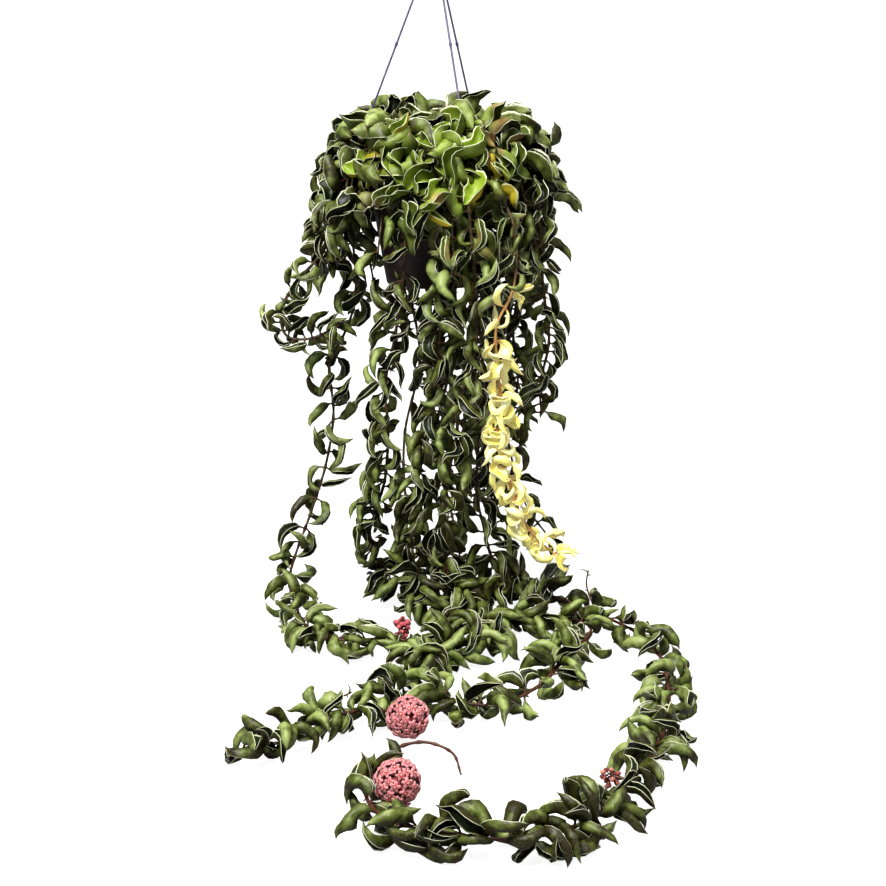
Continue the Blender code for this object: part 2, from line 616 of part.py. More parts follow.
def fixed_things(thicket, plans):
    """Put the pot, the strands, the blooms, the twigs and all stems in the thicket before any leaf."""
    axis = 0.1 * FIT
    edge = RIM_RADIUS + POT_GUARD
    inner = POT_TOP_RADIUS - 2 * POT_WALL
    low = RIM_HEIGHT - POT_HEIGHT
    profile = [(axis, SOIL_TOP + POT_GUARD), (inner, SOIL_TOP + POT_GUARD), (inner, RIM_HEIGHT + POT_GUARD),
               (edge, RIM_HEIGHT + POT_GUARD), (edge, RIM_HEIGHT - LIP_DEPTH - POT_GUARD),
               (POT_TOP_RADIUS, RIM_HEIGHT - LIP_DEPTH - POT_GUARD), (POT_BASE_RADIUS + POT_GUARD, low),
               (axis, low - POT_GUARD)]
    points, faces = turned(profile, POT_STEPS, (0.0, 0.0, -MEETING_DROP))
    thicket.add("pot", points, faces)
    for name, azimuth in STRAND_AZIMUTHS.items():
        line = strand_line(azimuth, STRAND_START_RADIUS)
        points, faces = tube(line, NIB_RADIUS + FIT)
        thicket.add("strand " + name, points, faces)
    stems = {plan[0].name: plan[0] for plan in plans}
    for name, (carrier, centre, core, reach, size, count) in BLOOMS.items():
        points, faces = tube(stalk_line(stems[carrier], lowered(centre)), STALK_RADIUS + STEM_GUARD)
        thicket.add(name + " stalk", points, faces)
        ball = reach + BALL_GUARD
        profile = [(max(ball * math.cos(a), axis), ball * math.sin(a))
                   for a in np.linspace(-math.pi / 2, math.pi / 2, 7)]
        points, faces = turned(profile, 10, tuple(lowered(centre)))
        thicket.add(name, points, faces)
    for plan in plans:
        stem = plan[0]
        points, faces = tube(stem.line[stem.kept], STEM_RADIUS + STEM_GUARD)
        thicket.add(stem.name, points, faces)
        for twig in TWIGS.get(stem.name, []):
            points, faces = tube(smooth_line(lowered(twig), 0.01), TWIG_RADIUS + STEM_GUARD)
            thicket.add(stem.name + " twig", points, faces)


def stalk_line(stem, centre):
    """A flower stalk: from inside the head to just clear of the nearest stretch of the stem's runs."""
    knots = stem.line[stem.kept]
    nearest = None
    for start, end in zip(knots, knots[1:]):
        run = end - start
        share = np.clip((centre - start) @ run / (run @ run), 0.0, 1.0)
        spot = start + run * share
        if nearest is None or np.linalg.norm(spot - centre) < np.linalg.norm(nearest - centre):
            nearest = spot
    away = unit(centre - nearest)
    return np.array([centre - away * STALK_SINK, nearest + away * STALK_STOP])


def link(collection, name, mesh, material=None):
    """A new object with this mesh, in this collection."""
    item = bpy.data.objects.new(name, mesh)
    collection.objects.link(item)
    if material:
        mesh.materials.append(material)
    return item


def closed_mesh(name, points, faces):
    """A mesh from points and triangles, with its faces turned outwards."""
    shape = bmesh.new()
    corners = [shape.verts.new(point) for point in points]
    for face in faces:
        shape.faces.new([corners[k] for k in face])
    bmesh.ops.recalc_face_normals(shape, faces=shape.faces[:])
    mesh = bpy.data.meshes.new(name)
    shape.to_mesh(mesh)
    shape.free()
    return mesh


def curve_mesh(collection, name, line, radius, resolution=0):
    """A round bar along a line, made as a bevelled curve and turned into a closed mesh."""
    curve = bpy.data.curves.new(name, "CURVE")
    curve.dimensions = "3D"
    curve.bevel_depth = radius
    curve.bevel_resolution = resolution
    curve.use_fill_caps = True
    spline = curve.splines.new("POLY")
    spline.points.add(len(line) - 1)
    for knot, point in zip(spline.points, line):
        knot.co = (*point, 1.0)
    guide = bpy.data.objects.new(name, curve)
    collection.objects.link(guide)
    evaluated = guide.evaluated_get(bpy.context.evaluated_depsgraph_get())
    mesh = bpy.data.meshes.new_from_object(evaluated)
    bpy.data.objects.remove(guide, do_unlink=True)
    shape = bmesh.new()
    shape.from_mesh(mesh)
    bmesh.ops.remove_doubles(shape, verts=shape.verts[:], dist=0.00002)
    bmesh.ops.triangulate(shape, faces=shape.faces[:])
    bmesh.ops.recalc_face_normals(shape, faces=shape.faces[:])
    shape.to_mesh(mesh)
    shape.free()
    return mesh


def combine(base, others, operation):
    """Union or cut the base with all meshes at once, and keep the result as the base's mesh."""
    group = bpy.data.collections.new("operands")
    bpy.context.scene.collection.children.link(group)
    items = [link(group, "operand", mesh) for mesh in others]
    for solver, weld in JOIN_TRIES:
        step = base.modifiers.new("join", "BOOLEAN")
        step.operation = operation
        step.operand_type = "COLLECTION"
        step.collection = group
        step.solver = solver
        evaluated = base.evaluated_get(bpy.context.evaluated_depsgraph_get())
        mesh = bpy.data.meshes.new_from_object(evaluated)
        base.modifiers.remove(step)
        shape = bmesh.new()
        shape.from_mesh(mesh)
        bmesh.ops.remove_doubles(shape, verts=shape.verts[:], dist=weld)
        bmesh.ops.dissolve_degenerate(shape, edges=shape.edges[:], dist=weld)
        bmesh.ops.triangulate(shape, faces=shape.faces[:])
        sound = all(item.is_manifold for item in [*shape.edges, *shape.verts])
        shape.to_mesh(mesh)
        shape.free()
        if sound:
            break
    for item in items:
        bpy.data.objects.remove(item, do_unlink=True)
    bpy.data.collections.remove(group)
    old = base.data
    base.data = mesh
    bpy.data.meshes.remove(old)


def build_stem(collection, stem, leaves, material):
    """A stem with its twigs and leaves as one body."""
    base = link(collection, stem.name, curve_mesh(collection, stem.name, stem.line[stem.kept], STEM_RADIUS))
    faces = ring_faces(len(RINGS))
    others = [closed_mesh("leaf", leaf.coarse(RINGS), faces) for leaf in leaves]
    for twig in TWIGS.get(stem.name, []):
        line = smooth_line(lowered(twig), 0.01)
        others.append(curve_mesh(collection, "twig", line, TWIG_RADIUS))
    combine(base, others, "UNION")
    base.data.materials.clear()
    base.data.materials.append(material)


def build_pot(collection, material):
    """The pot: a turned wall with a lipped rim, drain holes and three strand holes."""
    low = RIM_HEIGHT - POT_HEIGHT
    flange = RIM_HEIGHT - POT_WALL
    profile = [(0.0, low + POT_WALL), (POT_BASE_RADIUS - POT_WALL, low + POT_WALL),
               (POT_TOP_RADIUS - POT_WALL, RIM_HEIGHT), (RIM_RADIUS, RIM_HEIGHT),
               (RIM_RADIUS - RIM_TAPER, RIM_HEIGHT - LIP_DEPTH),
               (RIM_RADIUS - LIP_WALL, RIM_HEIGHT - LIP_DEPTH),
               (RIM_RADIUS - LIP_WALL, flange), (POT_TOP_RADIUS, flange), (POT_BASE_RADIUS, low), (0.0, low)]
    shape = bmesh.new()
    corners = [shape.verts.new((radius, 0.0, height - MEETING_DROP)) for radius, height in profile]
    for here, there in zip(corners, corners[1:]):
        shape.edges.new((here, there))
    mesh = bpy.data.meshes.new("hanging_pot")
    shape.to_mesh(mesh)
    shape.free()
    pot = link(collection, "hanging_pot", mesh)
    turn = pot.modifiers.new("turn", "SCREW")
    turn.steps = POT_STEPS
    turn.render_steps = POT_STEPS
    turn.use_merge_vertices = True
    turn.merge_threshold = 0.00001
    evaluated = pot.evaluated_get(bpy.context.evaluated_depsgraph_get())
    turned_mesh = bpy.data.meshes.new_from_object(evaluated)
    pot.modifiers.remove(turn)
    pot.data = turned_mesh
    bpy.data.meshes.remove(mesh)
    cutters = []
    for number in range(DRAIN_HOLES):
        place = polar(DRAIN_CIRCLE, 360.0 / DRAIN_HOLES * number + DRAIN_FIRST, low)
        cutters.append(prism(place, DRAIN_RADIUS, 4 * POT_WALL, HOLE_SIDES))
    for azimuth in STRAND_AZIMUTHS.values():
        cutters.append(prism(polar(STRAND_CIRCLE, azimuth, flange), STRAND_HOLE_RADIUS, 4 * POT_WALL, HOLE_SIDES))
    combine(pot, cutters, "DIFFERENCE")
    make_outward(pot.data)
    pot.data.materials.clear()
    pot.data.materials.append(material)


def make_outward(mesh):
    """Turn a closed mesh's faces outwards."""
    shape = bmesh.new()
    shape.from_mesh(mesh)
    bmesh.ops.recalc_face_normals(shape, faces=shape.faces[:])
    shape.to_mesh(mesh)
    shape.free()


def prism(centre, radius, height, sides, turn=0.0):
    """A small upright prism as a mesh, for cutting holes."""
    shape = bmesh.new()
    bmesh.ops.create_cone(shape, cap_ends=True, segments=sides, radius1=radius, radius2=radius, depth=height)
    bmesh.ops.rotate(shape, verts=shape.verts[:], matrix=Matrix.Rotation(turn, 3, "Z"))
    bmesh.ops.translate(shape, verts=shape.verts[:], vec=Vector(centre) - Vector((0.0, 0.0, MEETING_DROP)))
    mesh = bpy.data.meshes.new("prism")
    shape.to_mesh(mesh)
    shape.free()
    return mesh


def build_soil(collection, plans, material):
    """The soil: a plug that fills the pot, with a square hole round the foot of each stem."""
    low = RIM_HEIGHT - POT_HEIGHT + POT_WALL + FIT
    slope = (POT_TOP_RADIUS - POT_BASE_RADIUS) / (POT_HEIGHT - POT_WALL)
    base_radius = POT_BASE_RADIUS - POT_WALL - 2 * FIT
    top_radius = base_radius + slope * (SOIL_TOP - low)
    shape = bmesh.new()
    bmesh.ops.create_cone(shape, cap_ends=True, segments=POT_STEPS, radius1=base_radius,
                          radius2=top_radius, depth=SOIL_TOP - low)
    bmesh.ops.translate(shape, verts=shape.verts[:], vec=(0.0, 0.0, 0.5 * (SOIL_TOP + low) - MEETING_DROP))
    mesh = bpy.data.meshes.new("potting_soil")
    shape.to_mesh(mesh)
    shape.free()
    soil = link(collection, "potting_soil", mesh)
    cutters = []
    depth = ROOT_DEPTH + FIT
    for plan in plans:
        foot = plan[0].line[0]
        turn = math.atan2(foot[1], foot[0])
        centre = (foot[0], foot[1], SOIL_TOP)
        cutters.append(prism(centre, ROOT_HOLE_HALF * math.sqrt(2.0), 2 * depth, 4, turn))
    combine(soil, cutters, "DIFFERENCE")
    make_outward(soil.data)
    soil.data.materials.clear()
    soil.data.materials.append(material)


def bead(centre, radius):
    """A small eight-faced bead as a mesh."""
    shape = bmesh.new()
    bmesh.ops.create_uvsphere(shape, u_segments=4, v_segments=2, radius=radius)
    bmesh.ops.translate(shape, verts=shape.verts[:], vec=centre)
    mesh = bpy.data.meshes.new("bead")
    shape.to_mesh(mesh)
    shape.free()
    return mesh


def strand_line(azimuth, start_radius):
    """A strand from the hub straight down to the rim, and upright through its hole."""
    slope = STRAND_CIRCLE / (RIM_HEIGHT + STRAND_BEND)
    return lowered([polar(start_radius, azimuth, start_radius / slope),
                    polar(STRAND_CIRCLE, azimuth, RIM_HEIGHT + STRAND_BEND),
                    polar(STRAND_CIRCLE, azimuth, RIM_HEIGHT - STRAND_TAIL)])


def build_strands(collection, material):
    """Three strands, each with a nib and a stop bead under the rim."""
    for name, azimuth in STRAND_AZIMUTHS.items():
        line = strand_line(azimuth, STRAND_START_RADIUS)
        title = "hanger_strand_" + name
        strand = link(collection, title, curve_mesh(collection, title, line, STRAND_RADIUS))
        others = [bead(line[0] + (line[1] - line[0]) * NIB_PLACE, NIB_RADIUS),
                  bead(line[2] + np.array([0.0, 0.0, BEAD_SINK]), BEAD_RADIUS)]
        combine(strand, others, "UNION")
        strand.data.materials.clear()
        strand.data.materials.append(material)


def build_hook(collection, material):
    """The hook and its hub: a bent bar over the hang point, rising from a small tapered hub."""
    centre = HOOK_WIRE - HOOK_BEND
    shank = [(0.0, 0.0, HUB_TOP - MEETING_DROP + rise) for rise in (-SHANK_SINK, SHANK_RISE)]
    arc = [(HOOK_BEND * math.sin(a), 0.0, centre + HOOK_BEND * math.cos(a))
           for a in np.radians(np.linspace(*HOOK_ARC, HOOK_ARC_POINTS))]
    title = "hanger_hook"
    hub = bmesh.new()
    bmesh.ops.create_cone(hub, cap_ends=True, segments=HUB_SIDES, radius1=HUB_BOTTOM_RADIUS,
                          radius2=HUB_TOP_RADIUS, depth=HUB_TOP - HUB_BOTTOM)
    bmesh.ops.translate(hub, verts=hub.verts[:], vec=(0.0, 0.0, 0.5 * (HUB_TOP + HUB_BOTTOM) - MEETING_DROP))
    mesh = bpy.data.meshes.new(title)
    hub.to_mesh(mesh)
    hub.free()
    item = link(collection, title, mesh)
    combine(item, [curve_mesh(collection, "bar", np.array(shank + arc), HOOK_WIRE, 1)], "UNION")
    bores = []
    for azimuth in STRAND_AZIMUTHS.values():
        line = strand_line(azimuth, STRAND_START_RADIUS)
        run = unit(line[1] - line[0])
        reach = np.array([line[0] - run * FIT, line[0] + run * BORE_LENGTH])
        bores.append(curve_mesh(collection, "bore", reach, STRAND_RADIUS + BORE_GAP, 1))
    combine(item, bores, "DIFFERENCE")
    make_outward(item.data)
    item.data.materials.clear()
    item.data.materials.append(material)


def sphere_directions(count):
    """Directions spread evenly over a ball along a golden spiral."""
    steps = np.arange(count) + 0.5
    heights = 1.0 - 2.0 * steps / count
    angles = steps * math.pi * (3.0 - math.sqrt(5.0))
    flat = np.sqrt(1.0 - heights ** 2)
    return np.stack([flat * np.cos(angles), flat * np.sin(angles), heights], axis=1)


def floret(direction, spin, reach, size):
    """A five-pointed star floret: a raised middle, ten edge points and a root towards the core."""
    side = unit(np.cross(direction, ODD_DIRECTION))
    other = np.cross(direction, side)
    points = [direction * (reach + CROWN_RISE)]
    for k in range(10):
        radius = size if k % 2 == 0 else size * STAR_NOTCH
        lift = reach - STAR_DROP[0] - (radius / size) * STAR_DROP[1]
        angle = spin + k * math.pi / 5.0
        points.append(direction * lift + radius * (side * math.cos(angle) + other * math.sin(angle)))
    points.append(direction * reach * STAR_ROOT)
    faces = [(0, 1 + k, 1 + (k + 1) % 10) for k in range(10)]
    faces += [(11, 1 + (k + 1) % 10, 1 + k) for k in range(10)]
    return np.array(points), faces


def bud(direction, reach, size):
    """A closed bud: a slim four-sided double point that stands out of the core."""
    side = unit(np.cross(direction, ODD_DIRECTION))
    other = np.cross(direction, side)
    middle = direction * (reach - 0.5 * size)
    points = [direction * (reach + 0.5 * size)]
    points += [middle + 0.5 * size * (side * math.cos(angle) + other * math.sin(angle))
               for angle in np.radians((0, 90, 180, 270))]
    points.append(direction * reach * BUD_ROOT)
    faces = [(0, 1 + k, 1 + (k + 1) % 4) for k in range(4)]
    faces += [(5, 1 + (k + 1) % 4, 1 + k) for k in range(4)]
    return np.array(points), faces


def build_bloom(collection, name, stems, material):
    """A flower head on its stalk: a round core covered with star florets, or with buds where it is small."""
    carrier, centre, core, reach, size, count = BLOOMS[name]
    centre = lowered(centre)
    shape = bmesh.new()
    bmesh.ops.create_icosphere(shape, subdivisions=1, radius=core)
    bmesh.ops.translate(shape, verts=shape.verts[:], vec=centre)
    mesh = bpy.data.meshes.new(name)
    shape.to_mesh(mesh)
    shape.free()
    item = link(collection, name, mesh)
    dice = random.Random(name)
    stars = [curve_mesh(collection, "stalk", stalk_line(stems[carrier], centre), STALK_RADIUS)]
    for direction in sphere_directions(count):
        if count >= OPEN_FLORETS:
            points, faces = floret(direction, dice.uniform(0.0, 1.2), reach, size)
        else:
            points, faces = bud(direction, reach, size)
        stars.append(closed_mesh("floret", points + centre, faces))
    combine(item, stars, "UNION")
    item.data.materials.clear()
    item.data.materials.append(material)


def main():
    """Build every piece of the plant, its pot and its hanger."""
    clear_scene()
    collection = bpy.data.collections.new("hindu_rope_plant")
    bpy.context.scene.collection.children.link(collection)
    finish = {name: make_material(name) for name in COLOURS}
    plans = all_stems()
    thicket = Thicket()
    fixed_things(thicket, plans)
    build_pot(collection, finish["pot"])
    build_soil(collection, plans, finish["soil"])
    build_hook(collection, finish["hook"])
    build_strands(collection, finish["strand"])
    stems = {plan[0].name: plan[0] for plan in plans}
    for name in BLOOMS:
        build_bloom(collection, name, stems, finish["bloom" if name.startswith("umbel") else "bud"])
    for stem, lengths, bare in plans:
        leaves = grow_leaves(stem, thicket, lengths, bare)
        colour = "yellow_leaf" if stem.name == "vine_yellow" else "leaf"
        build_stem(collection, stem, leaves, finish[colour])
        print(stem.name, "leaves", len(leaves), "runs", len(stem.kept))


main()
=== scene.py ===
"""A hindu rope plant in its hanging pot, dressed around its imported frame.

The stems and leaves grow here by the same seeded rule as the solids do, so each fine leaf lies where its
coarse solid lies, and the leaves that the solids leave out then grow into the room between them.
Metres, +Z up, the front faces -Y, and the origin is the point where the hook hangs.
"""

import logging
import math
import random
from dataclasses import dataclass, field
from enum import Enum
from typing import Sequence

import bpy
import numpy as np
from bpy.types import Material, Node, NodeSocket, NodeTree, Object, ShaderNodeTree
from mathutils.bvhtree import BVHTree
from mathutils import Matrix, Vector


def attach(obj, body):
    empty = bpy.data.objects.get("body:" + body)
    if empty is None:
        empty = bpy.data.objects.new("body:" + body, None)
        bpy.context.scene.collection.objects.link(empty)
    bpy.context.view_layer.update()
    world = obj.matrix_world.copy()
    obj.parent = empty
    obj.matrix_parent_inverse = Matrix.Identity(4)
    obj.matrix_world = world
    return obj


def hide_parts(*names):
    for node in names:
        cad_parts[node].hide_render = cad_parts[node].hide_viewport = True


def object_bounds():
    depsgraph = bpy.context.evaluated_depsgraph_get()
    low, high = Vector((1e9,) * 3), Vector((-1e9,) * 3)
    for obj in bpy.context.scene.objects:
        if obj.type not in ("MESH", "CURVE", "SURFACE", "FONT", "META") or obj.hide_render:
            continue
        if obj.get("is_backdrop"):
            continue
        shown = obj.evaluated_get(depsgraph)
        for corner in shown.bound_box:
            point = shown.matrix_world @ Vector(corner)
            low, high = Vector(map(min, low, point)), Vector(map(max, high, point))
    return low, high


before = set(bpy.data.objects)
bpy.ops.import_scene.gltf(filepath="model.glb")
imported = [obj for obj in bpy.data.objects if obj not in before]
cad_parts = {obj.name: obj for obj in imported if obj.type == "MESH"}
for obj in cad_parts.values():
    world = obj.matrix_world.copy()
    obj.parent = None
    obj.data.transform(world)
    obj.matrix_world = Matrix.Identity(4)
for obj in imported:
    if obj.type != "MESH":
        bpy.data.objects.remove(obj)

Array = np.ndarray
LOG = logging.getLogger("rope_plant")

# The frame: the strands meet this far below the hang point, and every height below counts from there.
MEETING_DROP = 0.034
FLOOR = -0.725
FLOOR_REST = 0.0006
FIT = 0.0003
ODD_DIRECTION = (0.31, 0.94, 0.12)

# The pot, the soil and the hanger, as the solids have them.
RIM_HEIGHT = -0.216
RIM_RADIUS = 0.085
LIP_DEPTH = 0.010
POT_TOP_RADIUS = 0.0775
POT_BASE_RADIUS = 0.053
POT_HEIGHT = 0.145
POT_WALL = 0.0016
POT_STEPS = 24
POT_GUARD = 0.0005
SOIL_TOP = -0.231
ROOT_DEPTH = 0.014
UPRIGHT_ABOVE_SOIL = 0.003
STRAND_CIRCLE = 0.0805
STRAND_AZIMUTHS = {"front": -66.0, "back": 54.0, "left": 174.0}
STRAND_BEND = 0.012
STRAND_TAIL = 0.0075
STRAND_START_RADIUS = 0.0021
NIB_RADIUS = 0.0019

# Stems and the places of their leaves.
STEM_RADIUS = 0.0021
TWIG_RADIUS = 0.0013
STEM_GUARD = 0.0006
CURVE_SAMPLES = 12
PATH_STEP = 0.004
PATH_SAG = 0.0022
PAIR_SPACING = 0.019
PAIR_STAGGER = 0.0014
LEAF_GUARD = 0.0006
LEAF_TRIES = 14
FIRST_LEAF = 0.010
TIP_LEAF = 0.004
LENGTH_SPREAD = (0.9, 1.1)
PAIR_TURN = 101.0
CROWN_STRETCH = 0.142
CROWN_EVERY = 2
VINE_EVERY = 4

# A leaf: the thickness of its solid at the keel, the share of it that is stalk, and how its halves bend.
KEEL_THICKNESS = 0.0045
WIDEST_SKEW = 0.7
WIDTH_POWER = 0.9
FOLD_SAMPLES = 9
PETIOLE_SHARE = 0.11
FOLD_SHARPNESS = 2.2
SPINE_STEPS = 40
RINGS = (0.30, 0.68)

# Where stems cross the rim: root circles in the soil, the crest over the rim and the drop outside it.
ROOT_CIRCLES = (0.047, 0.060)
SPROUT = 0.004
CLIMB_SHARE = 0.45
CREST_RADIUS = 0.0885
CREST_HEIGHT = -0.2025
CREST_START = 0.004
CREST_ROUND = 0.006
OUTSIDE_RADIUS = 0.0985
OUTSIDE_HEIGHT = -0.222

# Each vine: where it crosses the rim (degrees), the leaf length at its root and its end, the share of
# its length that is bare at the end, and the points that it hangs and lies through, in millimetres.
PER_METRE = 1000.0
VINES = {
    "vine_left_long": (187, (0.050, 0.044), 0.0, [
        (-104, -14, -262), (-91, -12, -307), (-88, -10, -379), (-101, -10, -418), (-117, -8, -450),
        (-114, -4, -508), (-124, 0, -569), (-143, 0, -628), (-160, 0, -674), (-167, -10, -699),
        (-163, -40, -707), (-154, -82, -707), (-141, -142, -707), (-123, -179, -707), (-98, -197, -707),
        (-60, -195, -707), (-22, -200, -707)]),
    "vine_left_loop": (199, (0.046, 0.040), 0.0, [
        (-103, -36, -262), (-110, -38, -292), (-124, -40, -326), (-152, -40, -358), (-167, -40, -389),
        (-161, -42, -414), (-135, -44, -416), (-103, -44, -401)]),
    "vine_left_short": (162, (0.048, 0.044), 0.0, [
        (-112, 36, -258), (-122, 34, -300), (-112, 30, -352)]),
    "vine_front_left": (254, (0.048, 0.042), 0.0, [
        (-28, -111, -262), (-32, -110, -332), (-43, -102, -412), (-53, -100, -456), (-50, -96, -500),
        (-54, -80, -564), (-66, -58, -608), (-74, -40, -650), (-58, -30, -682), (-30, -30, -700)]),
    "vine_front": (271, (0.048, 0.044), 0.0, [
        (2, -113, -262), (6, -104, -371), (3, -100, -435), (-3, -100, -495), (-19, -100, -565),
        (-25, -100, -628), (-14, -104, -682), (12, -120, -704), (50, -150, -707), (60, -180, -707),
        (38, -206, -707), (4, -234, -707), (-19, -275, -707), (-34, -337, -707), (-50, -374, -707),
        (-85, -398, -707), (-129, -436, -707), (-170, -474, -709)]),
    "vine_front_middle": (287, (0.048, 0.044), 0.0, [
        (34, -113, -258), (41, -112, -330), (43, -110, -415), (27, -110, -471), (23, -109, -512),
        (14, -104, -560), (11, -100, -620), (19, -100, -680), (47, -112, -705), (93, -128, -707),
        (138, -132, -707), (164, -152, -707), (160, -190, -707), (137, -228, -707), (117, -292, -707),
        (86, -350, -707), (56, -375, -707), (22, -366, -707), (-2, -334, -707)]),
    "vine_yellow": (303, (0.036, 0.032), 0.0, [
        (62, -98, -246), (82, -114, -286), (82, -122, -350), (65, -130, -386), (64, -130, -415),
        (70, -130, -475), (68, -130, -512), (79, -130, -554), (95, -130, -598), (118, -130, -626),
        (131, -130, -636)]),
    "vine_floor_arc": (317, (0.046, 0.050), 0.09, [
        (78, -74, -262), (60, -84, -330), (53, -74, -395), (52, -56, -450), (48, -50, -530),
        (47, -50, -590), (56, -46, -636), (68, -26, -680), (86, -10, -704), (115, -36, -707),
        (152, -82, -707), (199, -148, -707), (220, -190, -707), (229, -267, -707), (222, -370, -707),
        (208, -440, -707), (177, -520, -707), (142, -594, -707), (108, -632, -707), (62, -650, -707),
        (10, -638, -707), (-34, -616, -707), (-54, -574, -707), (-48, -520, -706), (-34, -484, -704),
        (-8, -468, -704), (16, -482, -707), (25, -523, -712)]),
    "vine_right": (340, (0.048, 0.042), 0.0, [
        (108, -43, -250), (113, -50, -300), (117, -50, -360), (124, -50, -418), (115, -50, -466),
        (117, -50, -500)]),
    "vine_right_inner": (3, (0.046, 0.042), 0.0, [
        (105, 4, -262), (104, 2, -306), (95, 0, -362), (87, 0, -415), (93, 0, -468), (85, 0, -526)]),
    "vine_back_right": (27, (0.044, 0.040), 0.0, [
        (92, 48, -262), (96, 52, -330), (84, 52, -420), (78, 56, -500), (88, 58, -570), (106, 52, -630),
        (134, 40, -668)]),
    "vine_back_middle_right": (72, (0.044, 0.040), 0.0, [
        (34, 99, -262), (46, 96, -340), (56, 88, -430), (40, 82, -520), (56, 78, -600), (80, 72, -660)]),
    "vine_back_middle": (92, (0.044, 0.040), 0.0, [
        (-2, 103, -262), (4, 98, -360), (18, 88, -460), (0, 82, -560), (18, 70, -640), (30, 40, -696),
        (34, 0, -707)]),
    "vine_back_left": (113, (0.044, 0.040), 0.0, [
        (-41, 96, -262), (-34, 88, -360), (-18, 76, -460), (-36, 70, -550), (-34, 62, -630),
        (-14, 40, -694), (-2, 6, -707)]),
    "vine_back_far_left": (138, (0.046, 0.042), 0.0, [
        (-78, 70, -258), (-80, 72, -310), (-70, 66, -372)]),
}

# Each short spray over the rim: its azimuth in degrees, how far out and how low its end reaches.
RIM_SPRAYS = [
    (212, 0.124, -0.292), (226, 0.120, -0.270), (241, 0.122, -0.318), (263, 0.126, -0.300),
    (279, 0.132, -0.338), (327, 0.130, -0.318), (351, 0.128, -0.276), (15, 0.128, -0.280),
    (40, 0.124, -0.264), (82, 0.124, -0.262), (102, 0.126, -0.276), (126, 0.124, -0.266),
    (150, 0.124, -0.262)]
SPRAY_ROOT_SHIFT = 0.006
SPRAY_WIDER = 0.002
SPRAY_HIGHER = 0.006
HEART_SPRAYS = 5
HEART_FIRST = 17.0
HEART_CIRCLE = 0.020
HEART_LEAN = 0.010
HEART_LEAN_RISE = 0.026
HEART_REACH = 0.052
HEART_HEIGHT = -0.182
RIM_SPRAY_LEAVES = (0.056, 0.050)
HEART_LEAVES = (0.050, 0.056)

# Bare twigs: the vine that carries them and the points they pass.
TWIGS = {
    "vine_front": [[(-0.100, -0.410, -0.707), (-0.098, -0.398, -0.698), (-0.076, -0.385, -0.690)]],
    "vine_floor_arc": [[(0.176, -0.115, -0.707), (0.166, -0.096, -0.680), (0.168, -0.094, -0.664)]],
}

# Flower heads: the vine that carries them, the centre, the radius of the core, the reach of the florets
# and their radius.
BLOOMS = {
    "umbel_front": ("vine_floor_arc", (-0.0285, -0.5600, -0.7000), 0.0160, 0.0210, 0.0106),
    "umbel_middle": ("vine_front", (-0.0235, -0.4210, -0.6995), 0.0155, 0.0205, 0.0106),
    "bud_cluster": ("vine_left_long", (-0.0340, -0.1735, -0.7030), 0.0060, 0.0098, 0.0050),
    "spent_cluster": ("vine_floor_arc", (0.1510, -0.5340, -0.7060), 0.0065, 0.0105, 0.0050),
}
STALK_RADIUS = 0.0012
STALK_STOP = 0.0023
STALK_SINK = 0.002
BALL_GUARD = 0.0015


def polar(radius: float, degrees: float, height: float) -> tuple[float, float, float]:
    """A point at a radius and azimuth round the pot's axis."""
    angle = math.radians(degrees)
    return (radius * math.cos(angle), radius * math.sin(angle), height)


def lowered(points: Sequence) -> Array:
    """Heights counted from the strands' meeting point become heights below the hang point."""
    return np.asarray(points, dtype=float) - np.array([0.0, 0.0, MEETING_DROP])


def unit(vector: Array) -> Array:
    """The vector at length one."""
    return vector / np.linalg.norm(vector)


def eased(values: Array, low: float, high: float) -> Array:
    """A smooth step: 0 below low, 1 above high, and the cubic 3t^2 - 2t^3 between them."""
    share = np.clip((np.asarray(values, dtype=float) - low) / (high - low), 0.0, 1.0)
    return share * share * (3.0 - 2.0 * share)


def smooth_line(points: Sequence, step: float) -> Array:
    """A centripetal Catmull-Rom curve through the points, read at equal steps of its length.

    Args:
        points: The points that the curve passes.
        step: The wanted length from one point of the result to the next.

    Returns:
        The points of the curve, one row each.
    """
    points = np.asarray(points, dtype=float)
    padded = np.vstack([2 * points[0] - points[1], points, 2 * points[-1] - points[-2]])
    knots = np.concatenate([[0.0], np.cumsum(np.linalg.norm(np.diff(padded, axis=0), axis=1) ** 0.5)])
    samples = []
    for i in range(1, len(padded) - 2):
        t0, t1, t2, t3 = knots[i - 1:i + 3]
        p0, p1, p2, p3 = padded[i - 1:i + 3]
        for t in np.linspace(t1, t2, CURVE_SAMPLES + 1)[:-1]:
            a1 = (t1 - t) / (t1 - t0) * p0 + (t - t0) / (t1 - t0) * p1
            a2 = (t2 - t) / (t2 - t1) * p1 + (t - t1) / (t2 - t1) * p2
            a3 = (t3 - t) / (t3 - t2) * p2 + (t - t2) / (t3 - t2) * p3
            b1 = (t2 - t) / (t2 - t0) * a1 + (t - t0) / (t2 - t0) * a2
            b2 = (t3 - t) / (t3 - t1) * a2 + (t - t1) / (t3 - t1) * a3
            samples.append((t2 - t) / (t2 - t1) * b1 + (t - t1) / (t2 - t1) * b2)
    samples = np.array(samples + [points[-1]])
    reach = np.concatenate([[0.0], np.cumsum(np.linalg.norm(np.diff(samples, axis=0), axis=1))])
    places = np.linspace(0.0, reach[-1], max(3, int(round(reach[-1] / step)) + 1))
    return np.stack([np.interp(places, reach, samples[:, k]) for k in range(3)], axis=1)


